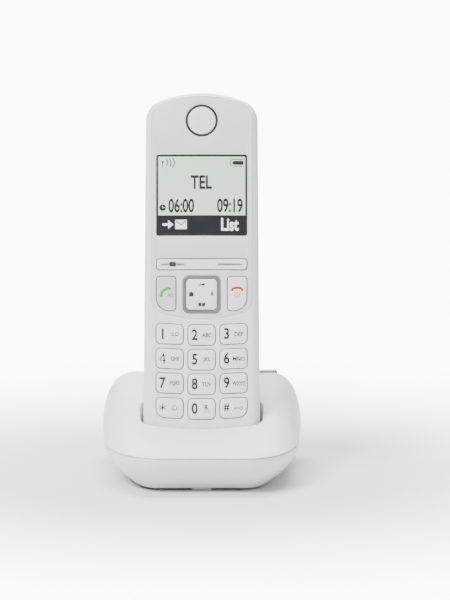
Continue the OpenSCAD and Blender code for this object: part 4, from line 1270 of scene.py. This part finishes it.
@dataclass
class ChargingBase:
    """The two shells of the base and its paging key.

    Attributes:
        space: the handset's directions, for the cradle.
        handset: the casing that stands in the cradle.
        front_r: reach of the front corners across the base.
        front_long: reach of the front corners along the sides.
        rear_r: corner radius behind.
        narrow: how much narrower each side is in front.
        seam_rise: height of the seam above the lower shell's CAD edge.
        shoulder: width of the rounded shoulders.
        wall: thickness of the walls.
        cradle_gap: gap around the handset.
        tub_wall: thickness of the cradle's walls.
    """

    space: HandsetSpace
    handset: Handset
    front_r: float = 23.0
    front_long: float = 42.0
    rear_r: float = 16.0
    narrow: float = 1.2
    seam_rise: float = 0.9
    shoulder: float = 12.0
    wall: float = 2.2
    cradle_gap: float = 0.6
    tub_wall: float = 1.6

    def __post_init__(self) -> None:
        """Takes the driving sizes from the frame."""
        low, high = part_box("base_top_shell")
        self.half = high.x / MM
        self.front, self.back = low.y / MM, high.y / MM
        self.top = high.z / MM
        bottom_low, bottom_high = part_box("base_bottom_shell")
        self.seam = bottom_high.z / MM + self.seam_rise
        self.floor = bottom_low.z / MM

    def outline(self, inset: float) -> list[Point]:
        """Returns the base's outline at its seam, drawn in by an inset, anticlockwise from the rear right."""
        rear, front = max(self.rear_r - inset, 0.4), max(self.front_r - inset, 0.4)
        long = max(self.front_long - inset, 0.4)
        rear_at = (self.half - inset - rear, self.back - inset - rear)
        front_at = (self.half - self.narrow - inset - front, self.front + inset + long)
        left = [
            (x, front_at[1] + (y - front_at[1]) * long / front) for x,
            y in arc((-front_at[0], front_at[1]), front, 180, 270, 20)
        ]
        right = [(-x, y) for x, y in left[::-1]]
        return (
            arc(rear_at, rear, 0, 90, 14)
            + arc((-rear_at[0], rear_at[1]), rear, 90, 180, 14)
            + self.side_points((-rear_at[0] - rear, rear_at[1]), (-front_at[0] - front, front_at[1]))
            + left
            + right
            + self.side_points((front_at[0] + front, front_at[1]), (rear_at[0] + rear, rear_at[1]))
        )

    @staticmethod
    def side_points(start: Point, end: Point, steps: int = 14) -> list[Point]:
        """Returns the points strictly between two corners of a side."""
        return [
            (start[0] + (end[0] - start[0]) * i / steps, start[1] + (end[1] - start[1]) * i / steps)
            for i in range(1, steps)
        ]

    def crown(self, y: float) -> float:
        """Returns the height of the top surface above the seam, away from the sides, at a depth."""
        slope, soft = 0.279, 2.5
        rise = slope * (y - self.front) + 0.3
        flat = self.top - self.seam - 0.15
        bend = max(soft - abs(flat - rise), 0) / soft
        return min(rise, flat) - bend * bend * soft / 4

    def dip(self, x: float, y: float) -> float:
        """Returns how far the top surface sinks towards the middle of the cradle's lip."""
        lip_y, deepest, reach = -18.0, 1.7, 30.0
        across = math.cos(math.pi / 2 * min(abs(x) / reach, 1)) ** 2
        along = min(max((y - self.front - 4) / (lip_y - self.front - 4), 0), 1)
        return deepest * across * along * along * (3 - 2 * along)

    def top_ring(self, inset: float, sink: float = 0.0) -> list[Vector]:
        """Returns a ring of the top surface.

        Args:
            inset: how far it lies inside the outline.
            sink: how far it lies under the outer surface.
        Returns:
            The ring.
        """
        share = min(max(inset - sink, 0) / self.shoulder, 1)
        ring = []
        for x, y in self.outline(inset):
            depth_share = min(max((y - self.front) / (self.back - self.front), 0), 1)
            power = 1.3 + 1.0 * depth_share
            rise = (1 - (1 - share) ** power) ** (1 / power)
            ring.append(Vector((x, y, self.seam + max(self.crown(y) * rise - sink, 0.0 if sink else 0.05))))
        return ring

    def cradle_form(self, grow: float) -> bmesh.types.BMesh:
        """Returns the space that the handset stands in, in the frame's directions.

        Args:
            grow: how much it is grown.
        Returns:
            The mesh, in millimetres.
        """
        half, flare, round_z = self.handset.width / 2, 1.1, 4.0
        gap = self.cradle_gap + grow
        rings = []
        levels = [
            round_z * (1 - math.cos(math.radians(15 * i))) for i in range(7)
        ] + [10.0, 16.0, 22.0, 45.0, 75.0]
        for z in levels:
            draw_in = round_z * (1 - math.sin(math.acos(max(1 - z / round_z, 0)))) if z < round_z else 0
            wide = half + gap + flare * min(1, z / 22) - draw_in
            near = draw_in - gap
            far = smooth_lookup(self.handset.back_table, min(z, 60)) + gap - draw_in
            front_r, back_r = 4.5 + gap, 8 + gap
            radii = (min(back_r, (far - near) / 2), min(back_r, (far - near) / 2),
                     min(front_r, (far - near) / 2), min(front_r, (far - near) / 2))
            plan = rounded(2 * wide, far - near, radii, (0, (far + near) / 2))
            level = z - (gap if z < round_z else 0)
            rings.append([Vector((x, y, level)) for x, y in plan])
        made = loft(rings)
        to_frame = Matrix.Scale(1 / MM, 4) @ self.space.place
        bmesh.ops.transform(made, matrix=to_frame, verts=made.verts)
        return made

    @staticmethod
    def inside(x: float, y: float, outline: Sequence[Point]) -> bool:
        """Tells whether a point lies inside an outline."""
        odd = False
        for (ax, ay), (bx, by) in zip(outline, list(outline[1:]) + [outline[0]]):
            if (ay > y) != (by > y) and x < ax + (bx - ax) * (y - ay) / (by - ay):
                odd = not odd
        return odd

    def dome(self, inner: bool) -> bmesh.types.BMesh:
        """Returns the closed form under the top surface, or the space inside it."""
        if inner:
            insets = [
                self.wall + self.shoulder * (1 - math.cos(math.radians(90 * i / 10))) for i in range(11)
            ]
            rings = [[Vector((x, y, self.seam - 1)) for x, y in self.outline(self.wall)]]
            return loft(rings + [self.top_ring(i + 0.02, self.wall) for i in insets[1:]])
        rings = [
            [Vector((x, y, self.seam + 0.1)) for x, y in self.outline(0.35)],
            [Vector((x, y, self.seam + 0.4)) for x, y in self.outline(0.03)],
        ]
        insets = [self.shoulder * (1 - math.cos(math.radians(90 * i / 22))) for i in range(1, 23)]
        surface = [self.top_ring(i) for i in insets]
        for ring in surface:
            for v in ring:
                v.z = max(v.z, self.seam + 0.45)
        made = loft(rings + surface)
        step = 3.0
        cuts = [((i * step, 0, 0), (1, 0, 0)) for i in range(-12, 13)]
        cuts += [
            ((0, self.front + i * step, 0), (0, 1, 0)) for i in range(3, int((self.back - self.front) / step))
        ]
        for spot, way in cuts:
            bmesh.ops.bisect_plane(
                made, geom=list(
                    made.verts
                ) + list(made.edges) + list(made.faces), plane_co=spot, plane_no=way, dist=1e-4
            )
        flat = self.outline(self.shoulder + 0.01)
        for v in made.verts:
            if v.co.z > self.seam + 0.5 and self.inside(v.co.x, v.co.y, flat):
                v.co.z = self.seam + self.crown(v.co.y)
            if v.co.z > self.seam + 0.44:
                v.co.z = max(v.co.z - self.dip(v.co.x, v.co.y), self.seam + 0.44)
        return made

    def openings(self) -> bmesh.types.BMesh:
        """Returns the cutter for the sockets and the paging key."""
        jack_low, jack_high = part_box("line_jack")
        middle_x, middle_z = (jack_low.x + jack_high.x) / 2 / MM, (jack_low.z + jack_high.z) / 2 / MM
        power_low, power_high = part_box("power_jack")
        power = ((power_low.x + power_high.x) / 2 / MM, (power_low.z + power_high.z) / 2 / MM)
        page_low, page_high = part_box("paging_key")
        page = ((page_low.x + page_high.x) / 2 / MM, (page_low.y + page_high.y) / 2 / MM)
        back = jack_high.y / MM
        line = slab(rounded(10.8, 7.6, [0.6] * 4, (middle_x, middle_z), 3), back, back + 12)
        round_hole = pin(power[0], power[1], back, back + 12, 3.5)
        key = slab(rounded(8.9, 5.5, [0.8] * 4, (page[0], -page[1]), 3), self.top - 8, self.top + 5)
        bmesh.ops.rotate(key, verts=key.verts, cent=(0, 0, 0), matrix=Matrix.Rotation(math.pi / 2, 3, "X"))
        return joined(line, round_hole, key)

    def top_shell(self) -> None:
        """Builds the upper shell with its cradle."""
        skin = combined(self.dome(False), self.dome(True), "DIFFERENCE")
        tub = combined(self.cradle_form(self.tub_wall), self.dome(False), "INTERSECT")
        shell = combined(skin, tub, "UNION")
        shell = combined(shell, self.cradle_form(0.0), "DIFFERENCE")
        shell = combined(shell, self.openings(), "DIFFERENCE")
        cradle_low = self.handset.space.place @ Vector((0, 0, 0))
        bmesh.ops.recalc_face_normals(shell, faces=shell.faces)

        def on_rim(edge: bmesh.types.BMEdge) -> bool:
            """Tells whether an edge lies where the cradle meets the top surface."""
            middle = (edge.verts[0].co + edge.verts[1].co) / 2
            if len(edge.link_faces) != 2 or abs(middle.x) > self.handset.width / 2 + 3:
                return False
            on_top = abs(middle.z - self.seam - self.crown(middle.y) + self.dip(middle.x, middle.y)) < 0.3
            return on_top and edge.calc_face_angle() > 0.6 and middle.y < 30

        round_rim(shell, on_rim, 0.9, 4)
        LOG.info("cradle starts %.1f mm above the desk", cradle_low.z / MM)
        new_piece("base_upper_casing", shell, WHITE, "base", ["base_top_shell"], None, 30)

    def bottom_shell(self) -> None:
        """Builds the lower shell, which tucks in towards the desk."""
        drop, deepest, power = self.seam - self.floor, 11.5, 1.9

        def ring(share: float, inset: float, level: float) -> list[Vector]:
            """Returns a ring of the lower shell at a share of its drop."""
            return [Vector((x, y, level)) for x, y in self.outline(deepest * share**power + inset)]

        rings = [ring(0, 0.35, self.seam - 0.12), ring(0.0, 0.03, self.seam - 0.45)]
        rings += [ring(s / 20, 0, self.seam - drop * s / 20) for s in range(1, 20)]
        rings += [ring(0.985, 0.0, self.floor + 0.12), ring(1, 0.5, self.floor)]
        outer = loft(rings)
        inner = loft([ring(s / 10, 2.0, self.seam + 1 - (drop - 1.0) * s / 10) for s in range(0, 10)])
        shell = combined(outer, inner, "DIFFERENCE")
        cuts = []
        spots = [(m * (self.half - 19.5), self.front + 18.5) for m in (-1, 1)] + [(0.0, self.back - 19)]
        for x, y in spots:
            hole = bmesh.new()
            bmesh.ops.create_cone(hole, cap_ends=True, segments=48, radius1=2.9, radius2=2.9, depth=8)
            bmesh.ops.translate(hole, verts=hole.verts, vec=(x, y, self.floor))
            cuts.append(hole)
        foot_low, foot_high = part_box("front_foot")
        seat = rounded((foot_high.x - foot_low.x) / MM + 0.2,
                       (foot_high.y - foot_low.y) / MM + 0.2, [1.1] * 4,
                       (0, -(foot_low.y + foot_high.y) / 2 / MM), 4)
        foot = slab(seat, 0.2, self.floor + 0.6)
        bmesh.ops.rotate(foot, verts=foot.verts, cent=(0, 0, 0), matrix=Matrix.Rotation(math.pi / 2, 3, "X"))
        cuts.append(foot)
        for m in (-1, 1):
            hole = bmesh.new()
            bmesh.ops.create_cone(hole, cap_ends=True, segments=48, radius1=4.6, radius2=4.6, depth=1.6)
            bmesh.ops.translate(
                hole, verts=hole.verts, vec=(m * (self.half - 21.5), self.back - 18.5, self.floor - 0.2)
            )
            cuts.append(hole)
        for cut in cuts:
            bmesh.ops.recalc_face_normals(cut, faces=cut.faces)
        shell = combined(shell, joined(*cuts), "DIFFERENCE")
        new_piece("base_lower_casing", shell, WHITE, "base", ["base_bottom_shell"], None, 30)

    def paging_key(self) -> None:
        """Builds the ribbed paging key behind the handset."""
        low, high = (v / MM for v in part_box("paging_key"))
        crown = high.z - 0.5
        centre = (low + high) / 2
        block = slab(rounded(8.4, 5, [0.6] * 4, (centre.x, -centre.y), 4), low.z + 0.1, crown)
        ribs = [
            slab(rounded(0.5, 4.4, [0.2] * 4, (centre.x + i - 3.5, -centre.y), 3), crown - 0.1, high.z)
            for i in range(8)
        ]
        round_rim(block, at_depth(crown), 0.3, 3)
        key = joined(block, *ribs)
        bmesh.ops.rotate(key, verts=key.verts, cent=(0, 0, 0), matrix=Matrix.Rotation(math.pi / 2, 3, "X"))
        new_piece("paging_cap", key, RIBBED, "paging_key", ["paging_key"], None, 40)

    def feet(self) -> None:
        """Builds the front foot with a rounded rim."""
        low, high = (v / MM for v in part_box("front_foot"))
        foot = slab(
            rounded(high.x - low.x, high.y - low.y, [1.0] * 4, (0, -(low.y + high.y) / 2), 5), low.z, high.z
        )
        round_rim(foot, at_depth(low.z), 0.25, 3)
        bmesh.ops.rotate(foot, verts=foot.verts, cent=(0, 0, 0), matrix=Matrix.Rotation(math.pi / 2, 3, "X"))
        new_piece("front_pad", foot, PAD, "base", ["front_foot"], None, 40)

    def build(self) -> None:
        """Builds every piece of the base."""
        self.top_shell()
        self.bottom_shell()
        self.paging_key()
        self.feet()


# ---------------------------------------------------------------- pieces kept from the frame


KEPT: dict[Finish, tuple[str, ...]] = {
    CIRCUIT: ("base_board", "handset_board"),
    TIN: ("base_shield_can", "handset_shield_can", "contact_springs", "battery_springs", "battery_plates"),
    GOLD: ("base_antenna", "handset_antenna", "line_jack_contacts",
           "charge_contact_left", "charge_contact_right",
           "charge_pads"),
    STEEL: ("base_screws", "handset_screws"),
    BLACK: ("base_capacitor", "line_jack", "power_jack", "paging_switch",
            "contact_carrier", "earpiece_speaker",
            "microphone", "ringer_speaker"),
    SLEEVE: ("battery_cell_left", "battery_cell_right"),
    RUBBER: ("rear_feet", "earpiece_gasket"),
    MAT: ("keypad_mat", "nav_rocker", "lcd_backlight"),
    FILM: ("dome_sheet",),
    SCREEN: ("lcd_panel",),
}


def dress_kept_nodes() -> None:
    """Gives every CAD node that stays in view its own finish."""
    for finish, nodes in KEPT.items():
        for name in nodes:
            node = frame["nodes"][name]
            node.data.materials.clear()
            node.data.materials.append(finish.material())
            LOG.info("%s: kept, %s", name, finish.name)


# ---------------------------------------------------------------- stage


@dataclass
class Studio:
    """A plain pale floor, soft lights and a long lens.

    Attributes:
        distance: from the camera to the object, in metres.
        elevation: height of the camera's view, in degrees.
        span: what the long side of the picture shows at the object, in metres.
        aim: the point that stands in the middle of the picture.
        paper_glow: how much brighter the far paper is to the camera.
        glow_start: distance from the middle at which the glow starts.
        glow_full: distance at which it is full.
    """

    distance: float = 3.0
    elevation: float = 9.8
    span: float = 0.2575
    aim: tuple[float, float, float] = (0.0100, 0.0, 0.0760)
    paper_glow: float = 9.0
    glow_start: float = 0.07
    glow_full: float = 0.3

    def floor(self) -> None:
        """Builds a floor that bends up into a backdrop far behind."""
        made = bmesh.new()
        half, depth, bend = 6.0, 5.0, 1.5
        path = [(-depth, 0.0), (depth - bend, 0.0)]
        path += [
            (depth - bend + bend * math.sin(math.radians(9 * i)), bend - bend * math.cos(math.radians(9 * i)))
            for i in range(1, 11)
        ]
        path.append((depth, 6.0))
        left = [made.verts.new((-half, y, z)) for y, z in path]
        right = [made.verts.new((half, y, z)) for y, z in path]
        for i in range(len(path) - 1):
            made.faces.new((left[i], right[i], right[i + 1], left[i + 1]))
        mesh = bpy.data.meshes.new("floor")
        made.to_mesh(mesh)
        made.free()
        mesh.shade_smooth()
        paper = Finish("floor_paper", (0.72, 0.72, 0.72), (0.70, 0.70, 0.70), (0.6, 0.7), 400, 0.02)
        sheet = paper.material()
        tree = sheet.node_tree
        path_kind = tree.nodes.new("ShaderNodeLightPath")
        place = tree.nodes.new("ShaderNodeTexCoord")
        reach = tree.nodes.new("ShaderNodeVectorMath")
        reach.operation = "LENGTH"
        fade = tree.nodes.new("ShaderNodeMapRange")
        fade.interpolation_type = "SMOOTHSTEP"
        fade.inputs["From Min"].default_value = self.glow_start
        fade.inputs["From Max"].default_value = self.glow_full
        fade.inputs["To Max"].default_value = self.paper_glow
        tree.links.new(place.outputs["Object"], reach.inputs[0])
        tree.links.new(reach.outputs["Value"], fade.inputs["Value"])
        glow = tree.nodes.new("ShaderNodeMath")
        glow.operation = "MULTIPLY"
        tree.links.new(fade.outputs["Result"], glow.inputs[1])
        tree.links.new(path_kind.outputs["Is Camera Ray"], glow.inputs[0])
        tree.links.new(glow.outputs["Value"], tree.nodes["Principled BSDF"].inputs["Emission Strength"])
        tree.nodes["Principled BSDF"].inputs["Emission Color"].default_value = (1, 1, 1, 1)
        mesh.materials.append(sheet)
        floor = bpy.data.objects.new("floor", mesh)
        bpy.context.scene.collection.objects.link(floor)

    def light(
        self, name: str, at: tuple[float, float, float], size: tuple[float, float], power: float
    ) -> None:
        """Hangs a soft box that faces the object.

        Args:
            name: name of the light.
            at: its place, in metres.
            size: its width and height, in metres.
            power: its power in watts.
        """
        lamp = bpy.data.lights.new(name, "AREA")
        lamp.shape = "RECTANGLE"
        lamp.size, lamp.size_y = size
        lamp.energy = power
        holder = bpy.data.objects.new(name, lamp)
        bpy.context.scene.collection.objects.link(holder)
        holder.location = at
        holder.rotation_euler = (Vector((0, 0, 0.07)) - Vector(at)).to_track_quat("-Z", "Y").to_euler()

    def camera(self) -> None:
        """Sets the camera up at the right height and with a long lens."""
        lens = bpy.data.cameras.new("camera")
        lens.sensor_width = 36.0
        lens.lens = lens.sensor_width * self.distance / self.span
        lens.clip_end = 50.0
        holder = bpy.data.objects.new("camera", lens)
        bpy.context.scene.collection.objects.link(holder)
        tilt = math.radians(self.elevation)
        holder.location = Vector(self.aim) + Vector((0, -math.cos(tilt), math.sin(tilt))) * self.distance
        holder.rotation_euler = (math.pi / 2 - tilt, 0, 0)
        bpy.context.scene.camera = holder

    def build(self) -> None:
        """Builds the whole stage."""
        self.floor()
        self.light("key_light", (-1.0, -0.9, 1.6), (0.8, 0.8), 80)
        self.light("fill_light", (1.3, -1.5, 1.1), (1.0, 1.0), 16)
        self.light("top_light", (0.0, 0.6, 1.8), (1.6, 1.2), 95)
        world = bpy.data.worlds.new("studio")
        world.use_nodes = True
        world.node_tree.nodes["Background"].inputs["Color"].default_value = (1, 1, 1, 1)
        world.node_tree.nodes["Background"].inputs["Strength"].default_value = 0.3
        bpy.context.scene.world = world
        self.camera()


def main() -> None:
    """Builds the stage, the base, the handset and its keys."""
    logging.basicConfig(level=logging.INFO, format="%(message)s")
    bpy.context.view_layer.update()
    Studio().build()
    space = HandsetSpace.from_frame()
    handset = Handset(space)
    ChargingBase(space, handset).build()
    handset.build()
    Keypad(handset).build()
    Display(handset).build()
    dress_kept_nodes()
    bpy.context.view_layer.update()


if __name__ == "__main__":
    main()
